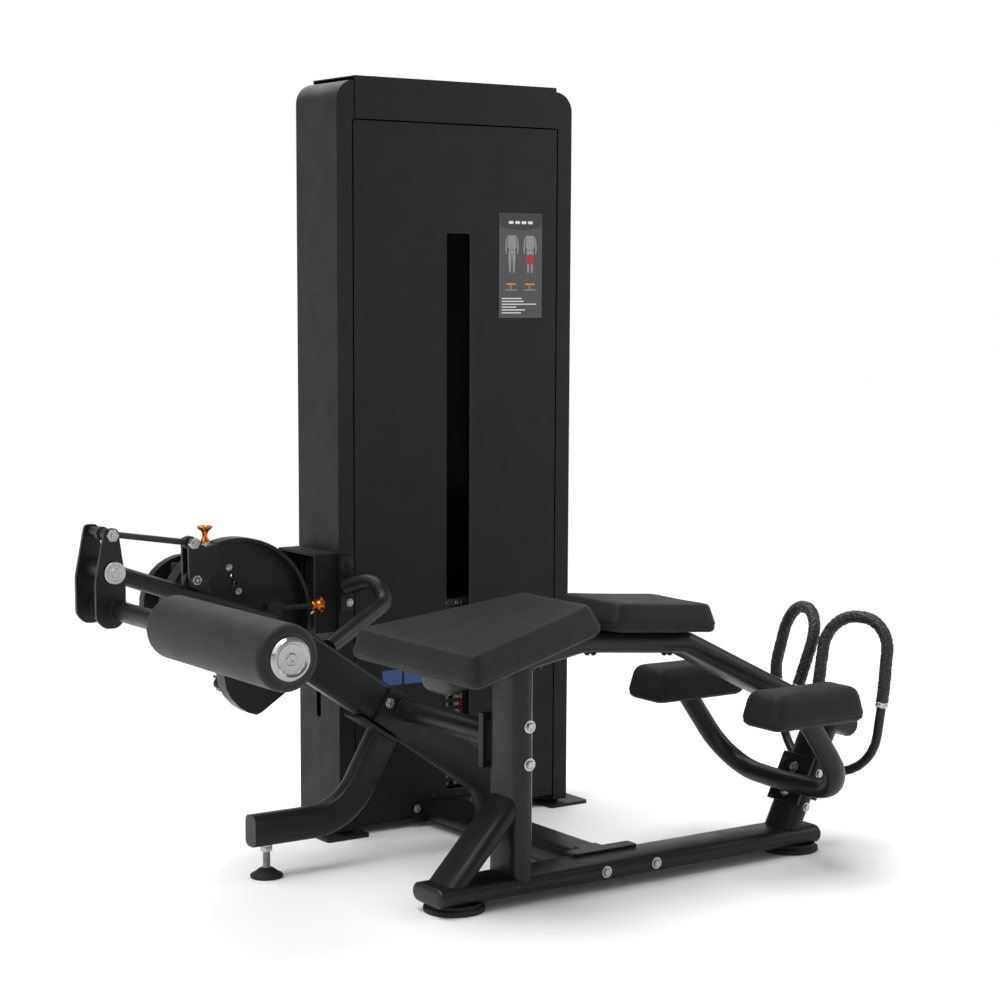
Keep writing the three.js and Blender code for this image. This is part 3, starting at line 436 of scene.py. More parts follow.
# ---------------- carried-over CAD nodes
def smoothing():
    """A geometry step that welds a CAD mesh's facets and shades its curved faces smooth."""
    group = bpy.data.node_groups.new("smooth_curved_faces", "GeometryNodeTree")
    group.interface.new_socket("Geometry", in_out="INPUT", socket_type="NodeSocketGeometry")
    group.interface.new_socket("Geometry", in_out="OUTPUT", socket_type="NodeSocketGeometry")
    make = group.nodes.new
    source, result = make("NodeGroupInput"), make("NodeGroupOutput")
    plain = make("GeometryNodeRemoveAttribute")
    plain.inputs["Name"].default_value = "custom_normal"
    weld = make("GeometryNodeMergeByDistance")
    weld.inputs["Distance"].default_value = WELD_GAP
    faces, edges = make("GeometryNodeSetShadeSmooth"), make("GeometryNodeSetShadeSmooth")
    edges.domain = "EDGE"
    edges.inputs["Shade Smooth"].default_value = False
    angle = make("GeometryNodeInputMeshEdgeAngle")
    steep = make("FunctionNodeCompare")
    steep.inputs["B"].default_value = math.radians(SHARP)
    group.links.new(angle.outputs["Unsigned Angle"], steep.inputs["A"])
    group.links.new(steep.outputs["Result"], edges.inputs["Selection"])
    chain = [source, plain, weld, faces, edges, result]
    for before, after in zip(chain, chain[1:]):
        group.links.new(before.outputs[0], after.inputs[0])
    return group


def dress_cad_nodes():
    """Gives each CAD node the procedural finish of its material slot; the drive cable then gets a pale
    colour that paints in a highlight, and the drive box a near-black that is partly its own black and partly
    painted shade.
    """
    step = smoothing()
    for node in NODES.values():
        for holder in node.material_slots:
            slot = holder.material.name.split(".")[0]
            holder.material = FINISHES[slot]
        node.modifiers.new("smooth", "NODES").node_group = step
    # The drive cable's pale colour is a painted highlight.
    NODES["drive_cable"].material_slots[0].material = CABLE_PAINTED_HIGHLIGHT
    # The drive box's near-black is partly its own black and partly painted shade of the opening round it.
    NODES["drive_box"].material_slots[0].material = BOX_BLACK_AND_PAINTED_SHADE


# ---------------- upholstery
def pad_mesh(node):
    """The CAD pad's outer shape, drawn in a little so that it can swell."""
    bm = bmesh.new()
    bm.from_mesh(NODES[node].data)
    bmesh.ops.remove_doubles(bm, verts=bm.verts, dist=WELD_GAP)
    low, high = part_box(node)
    centre = (low + high) / 2
    half = (high - low) / 2
    scale = Vector([1 - PAD_SHRINK * MM / h for h in half])
    for vertex in bm.verts:
        offset = vertex.co - centre
        vertex.co = centre + Vector([o * s for o, s in zip(offset, scale)])
    return bm


def upholster(node):
    """A crowned, stuffed pad: remeshed, swollen under cloth pressure, held at its board, then smoothed."""
    thick = PADS[node]["thick"]
    body = next(body for body, nodes in BODIES.items() if node in nodes)
    pad = in_finish(node + "_cover", pad_mesh(node), "pad_vinyl", body, sharp=60)
    apply_modifier(pad, "REMESH", mode="VOXEL", voxel_size=VOXEL * MM, use_smooth_shade=True)
    relax(pad.data)
    depth = pad_depth(node)
    swell(pad, [i for i, v in enumerate(pad.data.vertices) if depth(v.co) > thick - HELD_BAND])
    apply_modifier(pad, "SUBSURF", levels=1, render_levels=1)
    draw_in_seam(pad.data, depth, thick - SEAM_RISE)
    pad.data.shade_smooth()
    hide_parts(node)


def swell(pad, board_points, pressure=4.0, rounds=24):
    """Inflates the cover with its rim held, and keeps the swelling small and even."""
    rest = [v.co.copy() for v in pad.data.vertices]
    pad.vertex_groups.new(name="board").add(board_points, 1.0, "REPLACE")
    inflate(pad, pressure)
    moves = [vertex.co - start for vertex, start in zip(pad.data.vertices, rest)]
    moves = [move * min(1.0, PAD_SWELL * MM / max(move.length, 1e-9)) for move in moves]
    for vertex, start, move in zip(pad.data.vertices, rest, evened(pad.data, moves, rounds)):
        vertex.co = start + move


def evened(mesh, moves, rounds):
    """Averages each point's move with its neighbours' moves, so that the cover swells without wrinkles."""
    for _ in range(rounds):
        sums = [move.copy() for move in moves]
        counts = [1] * len(moves)
        for edge in mesh.edges:
            a, b = edge.vertices
            sums[a] += moves[b]
            sums[b] += moves[a]
            counts[a] += 1
            counts[b] += 1
        moves = [total / count for total, count in zip(sums, counts)]
    return moves


def pad_depth(node):
    """A function that gives how far a point lies below the pad's top plane, in millimetres."""
    size = PADS[node]
    slope = math.radians(size["slope"])
    normal = Vector((-math.sin(slope), 0, math.cos(slope)))
    origin = at(size["origin"][0], BENCH_Y, size["origin"][1])
    return lambda point: -(point - origin).dot(normal) / MM


def draw_in_seam(mesh, depth, seam, width=2.2, drawn=1.3):
    """Draws the cover in along the seam near its foot, where it wraps under the pad."""
    moves = []
    for vertex in mesh.vertices:
        pull = math.exp(-(((depth(vertex.co) - seam) / width) ** 2))
        moves.append(vertex.normal * (-drawn * MM * pull))
    for vertex, move in zip(mesh.vertices, moves):
        vertex.co += move


def apply_modifier(target, kind, **settings):
    """Runs a modifier and leaves its result in the mesh."""
    modifier = target.modifiers.new(kind.lower(), kind)
    for key, value in settings.items():
        setattr(modifier, key, value)
    bake_mesh(target)


def bake_mesh(target):
    graph = bpy.context.evaluated_depsgraph_get()
    made = bpy.data.meshes.new_from_object(target.evaluated_get(graph))
    materials = [slot.material for slot in target.material_slots]
    target.modifiers.clear()
    target.data = made
    made.materials.clear()
    for material in materials:
        made.materials.append(material)


def relax(mesh):
    """Smooths the remeshed surface once, so that no voxel steps are left."""
    bm = bmesh.new()
    bm.from_mesh(mesh)
    bmesh.ops.smooth_vert(bm, verts=bm.verts, factor=0.5, use_axis_x=True, use_axis_y=True, use_axis_z=True)
    bm.to_mesh(mesh)
    bm.free()


def inflate(target, pressure, frames=20):
    """Cloth simulation with inner pressure and no gravity, over this many frames."""
    cloth = target.modifiers.new("cloth", "CLOTH")
    cloth.settings.use_pressure = True
    cloth.settings.uniform_pressure_force = pressure
    cloth.settings.effector_weights.gravity = 0
    cloth.settings.vertex_group_mass = "board"
    cloth.settings.tension_stiffness = 25
    cloth.settings.compression_stiffness = 25
    cloth.settings.bending_stiffness = 2
    cloth.collision_settings.use_self_collision = False
    for step in range(1, frames + 1):
        bpy.context.scene.frame_set(step)
    bake_mesh(target)
    bpy.context.scene.frame_set(1)


def backing_board(node, reach_u, half_v, body):
    """The plywood board under a pad, inset from its edge, with the heads of the screws that hold it."""
    size = PADS[node]
    low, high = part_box(node)
    middle_y = (low.y + high.y) / 2
    turn = Matrix.Rotation(-math.radians(size["slope"]), 3, "Y")
    origin = at(size["origin"][0], BENCH_Y, size["origin"][1])
    origin.y = middle_y

    def place(u, v, w):
        return origin + turn @ Vector((u * MM, v * MM, (w - size["thick"]) * MM))

    bm = bmesh.new()
    slab(bm, rounded(reach_u[0], -half_v, reach_u[1], half_v, 20), 6, place, edge=1.0)
    piece(node + "_board", bm, BOARD, body)
    bm = bmesh.new()
    for u in (reach_u[0] + 28, reach_u[1] - 28):
        for v in (-half_v + 24, half_v - 24):
            turned(bm, [(0, -0.2), (5, -0.2), (4, 1.6), (1.6, 2.2), (1.6, 1.0), (0, 1.0)], place(u, v, 0),
                   turn @ Vector((0, 0, -1)), 16)
    in_finish(node + "_screws", bm, "zinc", body)


def arc(centre, middle, radius, start, end, step=10):
    """(radius, height) points round a quarter of a rolled edge, at angles from start to end degrees."""
    turns = [math.radians(a) for a in range(start, end + 1, step)]
    return [(centre + radius * math.cos(a), middle + radius * math.sin(a)) for a in turns]


def roller():
    """Foam roller under a vinyl skin that gathers round its ends."""
    x, z, y0, y1, radius, core = (ROLLER[k] for k in ("x", "z", "y0", "y1", "radius", "core"))
    length = y1 - y0
    roll = 15                                        # radius of the rolled ends
    profile = [(core + 1, 1), (core + 12, 0.4)]
    profile += arc(radius - roll, roll, roll, -90, 0)
    profile += [(radius, roll + (length - 2 * roll) * i / 60) for i in range(1, 60)]
    profile += arc(radius - roll, length - roll, roll, 0, 90)
    profile += [(core + 12, length - 0.4), (core + 1, length - 1)]

    def gather(k, angle):
        height = min(profile[k][1], length - profile[k][1])
        pull = math.exp(-height / 22) * 0.006
        fold = math.sin(17 * angle + 2 * math.sin(3 * angle))
        spot = Vector((math.cos(angle) * 1.3, math.sin(angle) * 1.3, profile[k][1] / 90))
        return pull * fold * 0.5 + noise.noise(spot) * 0.005

    def notched(k, angle):
        return 0.035 if k in (1, 2) and math.sin(22 * angle) > 0 else 0.0

    start = at(x, y0, z)
    foam = lathe("roller_foam_sleeve", "roller_foam", "roller", profile, start, BACK, 96, gather, 70)
    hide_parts("roller_foam")

    bm = bmesh.new()
    for y, way, inner, outer in ((y0, 1, 38, 49), (y1, -1, 24, 34)):
        ring = [(inner, 0.9), (outer, 0.2), (outer, -0.6), (inner, -0.6)]
        turned(bm, ring, at(x, y, z), (0, way, 0), 132, notched)
    in_finish("roller_end_rings", bm, "nylon", "roller", sharp=30)

    dished = [(0, -8.6), (3.2, -8.8), (4.5, -9.8), (10, -10.2), (11.5, -9.0), (12.5, -7.4), (24, -7.0),
              (29, -8.0), (31.5, -11.2), (34, -12.4), (38, -11.4), (42, -7), (43.6, -4), (43.6, -0.4),
              (0, -0.4)]
    cap = lathe("roller_cap_dished", "chrome", "roller", dished, start, BACK, 72, sharp=30)
    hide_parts("roller_cap")


# ---------------- hand grips
COLLAR = [(11.4, -13), (14.2, -13), (15, -12.2), (15, -9), (14.3, -8.4), (14.3, -5.6), (15, -5),
          (15, -0.8), (14.2, 0), (11.4, 0)]


def bent_path(corners, radii, spacing=0.0014):
    """A polyline with each inner corner turned into an arc, in steps of about `spacing` metres."""
    points = [corners[0]]
    for before, corner, after, radius in zip(corners, corners[1:], corners[2:], radii):
        back, ahead = (before - corner).normalized(), (after - corner).normalized()
        half = back.angle(ahead) / 2
        reach = min(radius * MM / math.tan(half),
                    0.49 * (before - corner).length, 0.49 * (after - corner).length)
        turn_radius = reach * math.tan(half)
        centre = corner + (back + ahead).normalized() * (turn_radius / math.sin(half))
        start = corner + back * reach - centre
        sweep = math.pi - 2 * half
        axis = start.cross(corner + ahead * reach - centre).normalized()
        steps = max(6, round(sweep * turn_radius / spacing))
        points += [centre + Quaternion(axis, sweep * i / steps) @ start for i in range(steps + 1)]
    points.append(corners[-1])
    filled = [points[0]]
    for point in points[1:]:
        gap = point - filled[-1]
        count = max(1, round(gap.length / spacing))
        base = filled[-1].copy()
        filled += [base + gap * (i / count) for i in range(1, count + 1)]
    return filled


def grip_stretch(path):
    """The part of the path under the rubber: above inner_z on its way up and outer_z on its way down."""
    top = next(i for i, p in enumerate(path) if p.z > GRIP["top_z"] * MM)
    inner, outer = GRIP["inner_z"] * MM, GRIP["outer_z"] * MM
    return [p for i, p in enumerate(path) if p.z > (inner if i <= top else outer)]


def grip(name, side):
    """The rubber sleeve of one hand grip and the clamp collars at its ends."""
    path = bent_path([at(x, BENCH_Y + side * out, z) for x, out, z in HANDLE_CORNERS], HANDLE_BENDS)
    covered = grip_stretch(path)
    last = len(covered) - 1
    fade_steps = 4

    def crackle(i, point, spoke):
        """Low plates parted by sunken cracks, fading at the sleeve's ends."""
        spot = (point + spoke * 0.014) * 100
        near, next_near = noise.voronoi(spot)[0][:2]
        crack = max(0.0, 1 - (next_near - near) / 0.24)
        fade = min(1.0, i / fade_steps, (last - i) / fade_steps)
        return (GRIP["radius"] + 0.3 - fade * 2.0 * crack) * MM

    bm = bmesh.new()
    swept(bm, covered, crackle, 72)
    sleeve = in_finish(f"grip_sleeve_{name}", bm, "grip_rubber", "frame", sharp=75)
    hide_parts(f"handle_grip_{name}")

    bm = bmesh.new()
    for end, inner in ((0, 1), (last, -1)):
        along = (covered[end + 6 * inner] - covered[end]).normalized()
        turned(bm, COLLAR, covered[end], along, 40)
        screw = covered[end] - along * 7 * MM + Vector((0, -14.4 * MM, 0))
        turned(bm, [(0, 0), (2.6, 0), (2.6, 2.2), (1.4, 2.6), (0, 1.4)], screw, OUT, 12)
    in_finish(f"grip_collars_{name}", bm, "zinc", "frame")


# ---------------- fasteners
SCREW = [(0, -0.2), (5.5, -0.2), (4.6, 1.8), (2.2, 2.4), (2.2, 1.0), (0, 1.0)]


def hex_bolt(bm, centre, axis, radius, washer=1.35, height=0.6):
    """A chamfered hexagon head on a washer, standing on the surface at `centre`."""
    axis = Vector(axis).normalized()
    thick, wide = 1.8, radius * washer
    disc = [(0, -0.3), (wide, -0.3), (wide, thick - 0.4), (wide - 0.5, thick), (0, thick)]
    turned(bm, disc, centre, axis, 32)
    top = thick + radius * height
    head = [(0, thick), (radius, thick), (radius, top - 0.14 * radius), (radius * 0.84, top),
            (radius * 0.55, top), (radius * 0.45, top - 0.6), (0, top - 0.6)]
    turned(bm, head, centre, axis, 6)


def round_cap(bm, centre, axis, radius, height, steps=48):
    """A turned disc with a stepped face and a small centre."""
    shape = [(0, -0.3), (1, -0.3), (1, height * 0.6), (0.94, height), (0.72, height), (0.68, height * 0.8),
             (0.42, height * 0.8), (0.38, height * 1.15), (0.16, height * 1.15), (0.12, height * 0.9),
             (0, height * 0.9)]
    turned(bm, [(radius * share, h) for share, h in shape], centre, axis, steps)


def nyloc(bm, centre, axis, radius):
    """A nut with its collar and the end of the bolt."""
    wide, top = radius * 1.3, radius * 0.95
    turned(bm, [(0, -0.3), (wide, -0.3), (wide, 1.6), (0, 1.6)], centre, axis, 28)
    nut = [(0, 1.6), (radius, 1.6), (radius, radius * 0.8), (radius * 0.88, top), (0, top)]
    turned(bm, nut, centre, axis, 6)
    tip = radius * 1.35
    end = [(0, radius * 0.9), (radius * 0.6, radius * 0.9), (radius * 0.52, tip), (0, tip)]
    turned(bm, end, centre, axis, 20)


def post_point(along, outward, y):
    """A point beside the leaning head post: `along` its middle line from z = 160, `outward` from it."""
    lean = Vector((POST_LEAN, 0, 1)).normalized()
    out = Vector((lean.z, 0, -lean.x))
    base = at(POST_FOOT_X + POST_LEAN * 100, BENCH_Y + y, 160)
    return base + lean * (along * MM) + out * (outward * MM), out


def frame_fasteners():
    """Bright bolts and nuts of the bench and tower, then the black bolts and panel screws."""
    bm = bmesh.new()
    for z in (390, 308):
        hex_bolt(bm, at(36, BENCH_Y - 60.0, z), OUT, 9.5, 1.5)
    for x in (246, 385):
        hex_bolt(bm, at(x, BENCH_Y - BASE["width"] / 2 - 0.1, 43), OUT, 9.5, 1.4)
        nyloc(bm, at(x, BENCH_Y + BASE["width"] / 2 + 0.1, 43), BACK, 8)
    for along in (25, -33):
        point, out = post_point(along, -30.5, 0)
        hex_bolt(bm, point, -out, 10, 1.35)
    for x, z in ((838, 110), (876, 185)):
        hex_bolt(bm, at(x, BENCH_Y - 49.6, z), OUT, 8)
    for along, y in ((52, -36), (52, 36), (-18, -36), (-18, 36)):
        point, out = post_point(along, 30.5, y)
        nyloc(bm, point, out, 6.5)
    hex_bolt(bm, at(25, -8.0, 571), OUT, 7)
    slope = Vector((1, 0, -BRACE_FALL)).normalized()
    for shift in (-34, 34):
        spot = at(12, LEG_Y - 33.7, PIVOT[1] - BRACE_FALL * (12 - PIVOT[0]) + 14) + slope * (shift * MM)
        hex_bolt(bm, spot, OUT, 8.5, 1.4)
    for x in (214, 378):
        hex_bolt(bm, at(x, -9.4, 46), OUT, 7.5)
    in_finish("frame_bolts", bm, "zinc", "frame")

    bm = bmesh.new()
    hex_bolt(bm, at(25, -8.0, 663), OUT, 7, 1.6)
    for along in (34, -50):
        point, out = post_point(along, -30.5, 38)
        hex_bolt(bm, point, -out, 6.5)
    for x in (60, 76, 204, 221, 417, 433):
        for y in (-36, 36):
            hex_bolt(bm, beam_underside(x) + Vector((0, y * MM, 0)), (0, 0, -1), 5)
    for x, z in ((266, 70), (408, 70)):
        turned(bm, SCREW, at(x, -0.1, z), OUT, 24)
    for x in (90, 336, 582):
        for z in (90, 850, 1640):
            turned(bm, SCREW, at(x, TOWER_DEPTH + 0.1, z), BACK, 24)
    in_finish("panel_screws", bm, "nylon", "frame")


def beam_underside(x):
    """The underside of the main beam at x."""
    before, after = next(pair for pair in zip(BEAM, BEAM[1:]) if x < pair[1][0])
    middle = before[1] + (x - before[0]) * (after[1] - before[1]) / (after[0] - before[0])
    return at(x, BENCH_Y, middle - BEAM_HALF)


def adjuster_bolts():
    """Bolts and spacers of the roller adjuster, and the bolts of its lever."""
    bm = bmesh.new()
    top = (ARM_END[0] + CRANK[0], ARM_END[1] + CRANK[1])
    round_cap(bm, at(ARM_END[0], -173, ARM_END[1]), OUT, 24.6, 4.0)
    round_cap(bm, at(top[0], -170, top[1]), OUT, 14.5, 8.5, 6)
    nyloc(bm, at(top[0], -60, top[1]), BACK, 9)
    in_finish("adjuster_plate_bolts", bm, "zinc", "adjuster")

    bm = bmesh.new()
    spacers = ((top, 6.2, 11, -161.8, -126.5), (top, 6.2, 11, -109.5, -68.2),
               (ARM_END, 10.2, 21, -161.8, -150.5), (ARM_END, 10.2, 21, -85.5, -68.2))
    for (x, z), bore, radius, y0, y1 in spacers:
        long, edge = y1 - y0, radius - 0.6
        spacer = [(bore, 0), (edge, 0), (radius, 0.6), (radius, long - 0.6), (edge, long), (bore, long)]
        turned(bm, spacer, at(x, y0, z), BACK, 40)
    in_finish("adjuster_spacers", bm, "frame_black", "adjuster")

    bm = bmesh.new()
    tip = (LEVER[0] + CRANK[0], LEVER[1] + CRANK[1])
    for x, z, radius in ((*tip, 13), (*LEVER, 12)):
        round_cap(bm, at(x, -138, z), OUT, radius, 9.5, 6)
        nyloc(bm, at(x, -98, z), BACK, 8)
    in_finish("lever_bolts", bm, "zinc", "lever")


def cam_details():
    """Bolts of the cam, the cap on its pivot, the stop bumper with its bracket, and two hole bushes."""
    bm = bmesh.new()
    for x, z in (START_HOLES[0], START_HOLES[3]):
        hex_bolt(bm, at(x, START_PLATE_Y, z), OUT, 6.5, 1.25)
    pivot_cap = [(0, -0.3), (30, -0.3), (30, 3), (27, 5), (12, 5), (10, 3.6), (0, 3.6)]
    turned(bm, pivot_cap, at(PIVOT[0], -262, PIVOT[1]), OUT, 48)
    hex_bolt(bm, STOP + STOP_OUT * (19 * MM), STOP_OUT, 6)
    slab(bm, rounded(-419, 644, -395, 691, 3), 2.5, lambda u, v, w: at(u, 35.9 - w, v), edge=0.6)
    in_finish("cam_bolts", bm, "zinc", "cam")

    bumper = [(0, 0), (17, 0), (18, 2), (18, 13), (13, 19), (0, 19)]
    lathe("stop_bumper", "foot_rubber", "cam", bumper, STOP, STOP_OUT, 40)
    bm = bmesh.new()
    across = Vector((-STOP_OUT.z, 0, STOP_OUT.x))
    behind = lambda u, v, w: STOP + (across * u + BACK * v - STOP_OUT * (w + 0.1)) * MM
    slab(bm, [(-19, -19), (19, -19), (19, 18), (-19, 18)], 5, behind, edge=0.8)
    in_finish("stop_bracket", bm, "frame_black", "cam")

    bm = bmesh.new()
    bush = [(5.2, -0.2), (9.5, -0.2), (9.5, 2.2), (8.6, 3), (5.2, 3)]
    for x, z in START_HOLES[1:3]:
        turned(bm, bush, at(x, START_PLATE_Y, z), OUT, 32)
    in_finish("start_hole_bushes", bm, "nylon", "cam")


def weld_beads():
    """Rippled weld rings where round tubes meet plates."""
    def bead(bm, centre, axis, radius):
        ripple = lambda k, angle: 0.008 * math.sin(46 * angle + k)
        turned(bm, arc(radius, 0, 2.4, 0, 315, 45), centre, axis, 184, ripple)

    bm = bmesh.new()
    bead(bm, at(30, BENCH_Y + 77.5, 352), BACK, 27)
    bead(bm, at(30, LEG_Y - 35.5, 352), BACK, 27)
    in_finish("frame_welds", bm, "frame_black", "frame", sharp=60)
    bm = bmesh.new()
    for y in (-171, -161, -69):
        bead(bm, at(ROLLER["x"], y, ROLLER["z"]), BACK, ROLLER["core"])
    in_finish("roller_frame_welds", bm, "frame_black", "adjuster", sharp=60)


# ---------------- pins, feet and plugs
def fluted(rows, count, depth):
    """A ripple that cuts `count` scallops into the given profile rows."""
    return lambda k, angle: -depth * max(0.0, math.cos(count * angle)) if k in rows else 0.0


def pop_pin():
    """Spring pin of the roller adjuster: a fluted knob on a threaded collar."""
    origin = at(LEVER[0] + 34, ARM_Y, LEVER[1] + 30)
    shape = [(0, 51), (9.5, 51), (10.5, 52.5), (9.2, 55), (6.6, 59), (5.8, 65), (6.6, 70), (9.5, 75),
             (14.8, 79.5), (17, 82), (17, 84.8), (15.8, 86.2), (9, 86.2), (7.5, 84.4), (3, 84.2), (0, 84.2)]
    flutes = fluted((8, 9, 10, 11), 6, 0.2)
    knob = lathe("pop_pin_knob", "orange_knob", "pop_pin_body", shape, origin, UP, 72, flutes, 40)
    shape = [(0, 0), (4.9, 0), (4.9, 41), (12, 41.4), (12, 46), (10.6, 47), (10.6, 50.8), (0, 50.8)]
    collar = lathe("pop_pin_collar", "zinc", "pop_pin_body", shape, origin, UP, 40)
    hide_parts("pop_pin")
    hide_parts("pop_pin")


def start_pin():
    """Spring pin of the start angle: a fluted knob on a black rod."""
    origin = at(START_PIN[0], ARM_Y, START_PIN[1])
    shape = [(0, 94), (8, 94), (9.5, 96), (8.2, 99), (6.4, 103), (6.2, 107), (8, 111), (12.5, 114),
             (17.6, 116), (18, 118.4), (16.6, 120), (9, 120.6), (7.6, 122.6), (3, 123.4), (0, 123.4)]
    flutes = fluted((7, 8, 9, 10), 6, 0.22)
    knob = lathe("start_pin_knob", "orange_knob", "start_pin_body", shape, origin, (1, 0, 0), 72, flutes, 40)
    shape = [(0, 0), (5.9, 0), (5.9, 93.8), (0, 93.8)]
    rod = lathe("start_pin_rod", "frame_black", "start_pin_body", shape, origin, (1, 0, 0), 32)
    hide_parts("start_pin")
    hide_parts("start_pin")


def selector_pin():
    """The pin that picks the load: a knurled head on a bright shank."""
    z = STACK["z0"] + (STACK["resting"] + 0.5) * STACK["pitch"] - PLATE_DROP
    origin = at(STACK["x"], 83, z)
    shape = [(0, 66.4), (9, 66.4), (9, 77), (11, 79), (14.8, 82), (14.8, 107), (13.4, 110), (11, 112),
             (0, 112)]
    flutes = fluted((5, 6), 12, 0.04)
    head = lathe("selector_pin_head", "orange_knob", "selector", shape, origin, OUT, 72, flutes, 40)
    shape = [(0, 0), (3.4, 0), (4.6, 2), (4.6, 66.2), (0, 66.2)]
    shank = lathe("selector_pin_shank", "chrome", "selector", shape, origin, OUT, 28)
    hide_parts("selector_pin")
    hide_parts("selector_pin")


def feet():
    """Ribbed rubber discs under the bench and the levelling foot under the tower leg."""
    ribbed = lambda k, angle: 0.012 * math.cos(30 * angle) if k in (2, 3) else 0.0
    disc = [(0, 0), (64.4, 0), (65.6, 1), (65.6, 10), (64.4, 11), (59.5, 11.6), (58, 13), (58, 19.6),
            (0, 19.6)]
    for name, x in FOOT_X.items():
        middle = at(x, BENCH_Y, 0)
        foot = lathe(name + "_ribbed", "foot_rubber", "frame", disc, middle, UP, 180, ribbed, 40)
        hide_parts(name)

    origin = at(LEG_FOOT_X, LEG_Y + 6, 0)
    cup = [(0, 0), (36, 0), (37, 1.2), (37, 6), (35.5, 7.6), (27, 12), (17, 20), (12, 22), (0, 22)]
    pad = lathe("levelling_foot_pad", "foot_rubber", "frame", cup, origin, UP, 90)
    thread = [(8.8 if i % 2 else 7.4, 24 + 1.6 * i) for i in range(22)]
    nut = [(0, 60.6), (14.6, 60.6), (15, 61.4), (15, 70), (14.6, 70.8), (0, 70.8)]
    bm = bmesh.new()
    turned(bm, [(0, 22.2), (8, 22.2)] + thread + [(8, 60.4), (0, 60.4)], origin, UP, 48)
    turned(bm, nut, origin, UP, 6)
    turned(bm, [(0, 70.9), (12, 70.9), (12, 75.4), (0, 75.4)], origin, UP, 36)
    stem = in_finish("levelling_foot_stem", bm, "zinc", "frame")
    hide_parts("levelling_foot")
    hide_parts("levelling_foot")


def tube_end(bm, centre, axis, wide, tall, dome):
    """A domed plastic plug in the open end of a flat-oval tube of the bench."""
    axis = Vector(axis).normalized()
    up = axis.cross(BACK)
    straight = (wide - tall) / 2
    sunk, rows, points = 1.2, 5, 40
    rings = []
    for k in range(rows + 1):
        angle = math.pi / 2 * k / rows
        radius = tall / 2 - (1 - math.cos(angle)) * 0.36 * tall
        height = (dome + sunk) * math.sin(angle) - sunk
        ring = []
        for i in range(points):
            t = 2 * math.pi * i / points
            u = math.copysign(straight, math.cos(t)) + radius * math.cos(t)
            ring.append(bm.verts.new(centre + (BACK * u + up * (radius * math.sin(t)) + axis * height) * MM))
        rings.append(ring)
    for first, second in zip(rings, rings[1:]):
        bridge(bm, first, second)
    bm.faces.new(rings[0])
    bm.faces.new(rings[-1])


def end_plugs():
    bm = bmesh.new()
    for x, way in ((BASE["x0"], -1), (BASE["x1"], 1)):
        tube_end(bm, at(x, BENCH_Y, BASE["z"]), (way, 0, 0), BASE["width"], BASE["height"], 8)
    tube_end(bm, at(-160, BENCH_Y, 496.4), (-1, 0, -0.173), BASE["width"], 49, 6)
    in_finish("tube_end_plugs", bm, "nylon", "frame", sharp=50)


# ---------------- tower front
def print_on(name, shapes, ink, y, body="frame"):
    """Prints outlines in one ink on the plane at y, raised towards the bench."""
    bm = bmesh.new()
    for outline in shapes:
        slab(bm, outline, INK_THICK, lambda u, v, w: at(u, y - w, v))
    return piece(name, bm, INKS[ink], body)


def figure(x, z, height):
    """A plain standing silhouette from the shoulders down: torso, hips and two legs."""
    s = height / 100
    torso = [(-13, 100), (13, 100), (15, 72), (10, 62), (-10, 62), (-15, 72)]
    hips = [(-10.5, 61), (10.5, 61), (12, 50), (-12, 50)]
    leg = [(1, 49), (12, 49), (10, 24), (8.5, 2), (3.5, 2), (3, 24)]
    arm = [(15, 98), (19, 92), (22, 66), (19, 50), (17, 52), (17, 74)]
    limbs = [[(side * u, v) for u, v in limb] for limb in (leg, arm) for side in (-1, 1)]
    return [[(x + u * s, z + v * s) for u, v in shape] for shape in (torso, hips, *limbs)]


def bench_icon(x, z):
    """A small generic drawing of a bench: its pad, its post and its foot."""
    return [rounded(x - 14, z - 2, x + 14, z + 2, 1.8), rounded(x - 3, z - 12, x + 1, z - 3, 1.2),
            rounded(x - 18, z - 15, x + 18, z - 12.6, 1.1)]


def placard_print():
    """Generic instruction card: header band, two figures, two icons and plain bars in place of words."""
    x0, x1, z0, z1, y = (PLACARD[k] for k in ("x0", "x1", "z0", "z1", "y"))
    y -= 0.05
    over = y - 0.2                                   # for print that lies on other print
    mid = (x0 + x1) / 2
    band = [(x0 + 1, z1 - 1), (x1 - 1, z1 - 1)]
    band += [(x1 - 1 - (x1 - x0 - 2) * i / 16, z1 - 32 - 9 * math.sin(math.pi * i / 16)) for i in range(17)]
    title = [rounded(mid - 36 + 19 * i, z1 - 26, mid - 22 + 19 * i, z1 - 19, 2.4) for i in range(4)]
    thigh = [(x1 - 46, z1 - 101), (x1 - 25, z1 - 101), (x1 - 27, z1 - 124), (x1 - 45, z1 - 124)]
    icons = [bench_icon(x, z1 - 172) for x in (x0 + 36, x1 - 36)]
    lines = [rounded(x0 + 8, z0 + 46 - 7 * i, x0 + 8 + wide, z0 + 48.6 - 7 * i, 1.2)
             for i, wide in enumerate((60, 66, 104, 44, 70, 58))]
    print_on("card_header", [band], "slate", y)
    print_on("card_title", title, "white", over)
    print_on("card_figures", figure(x0 + 38, z1 - 146, 92) + figure(x1 - 36, z1 - 146, 92), "grey", y)
    print_on("card_highlight", [thigh], "red", over)
    print_on("card_icons", [shape for icon in icons for shape in icon[1:]], "grey", y)
    print_on("card_icon_bars", [icon[0] for icon in icons], "amber", y)
    print_on("card_lines", lines, "white", y)


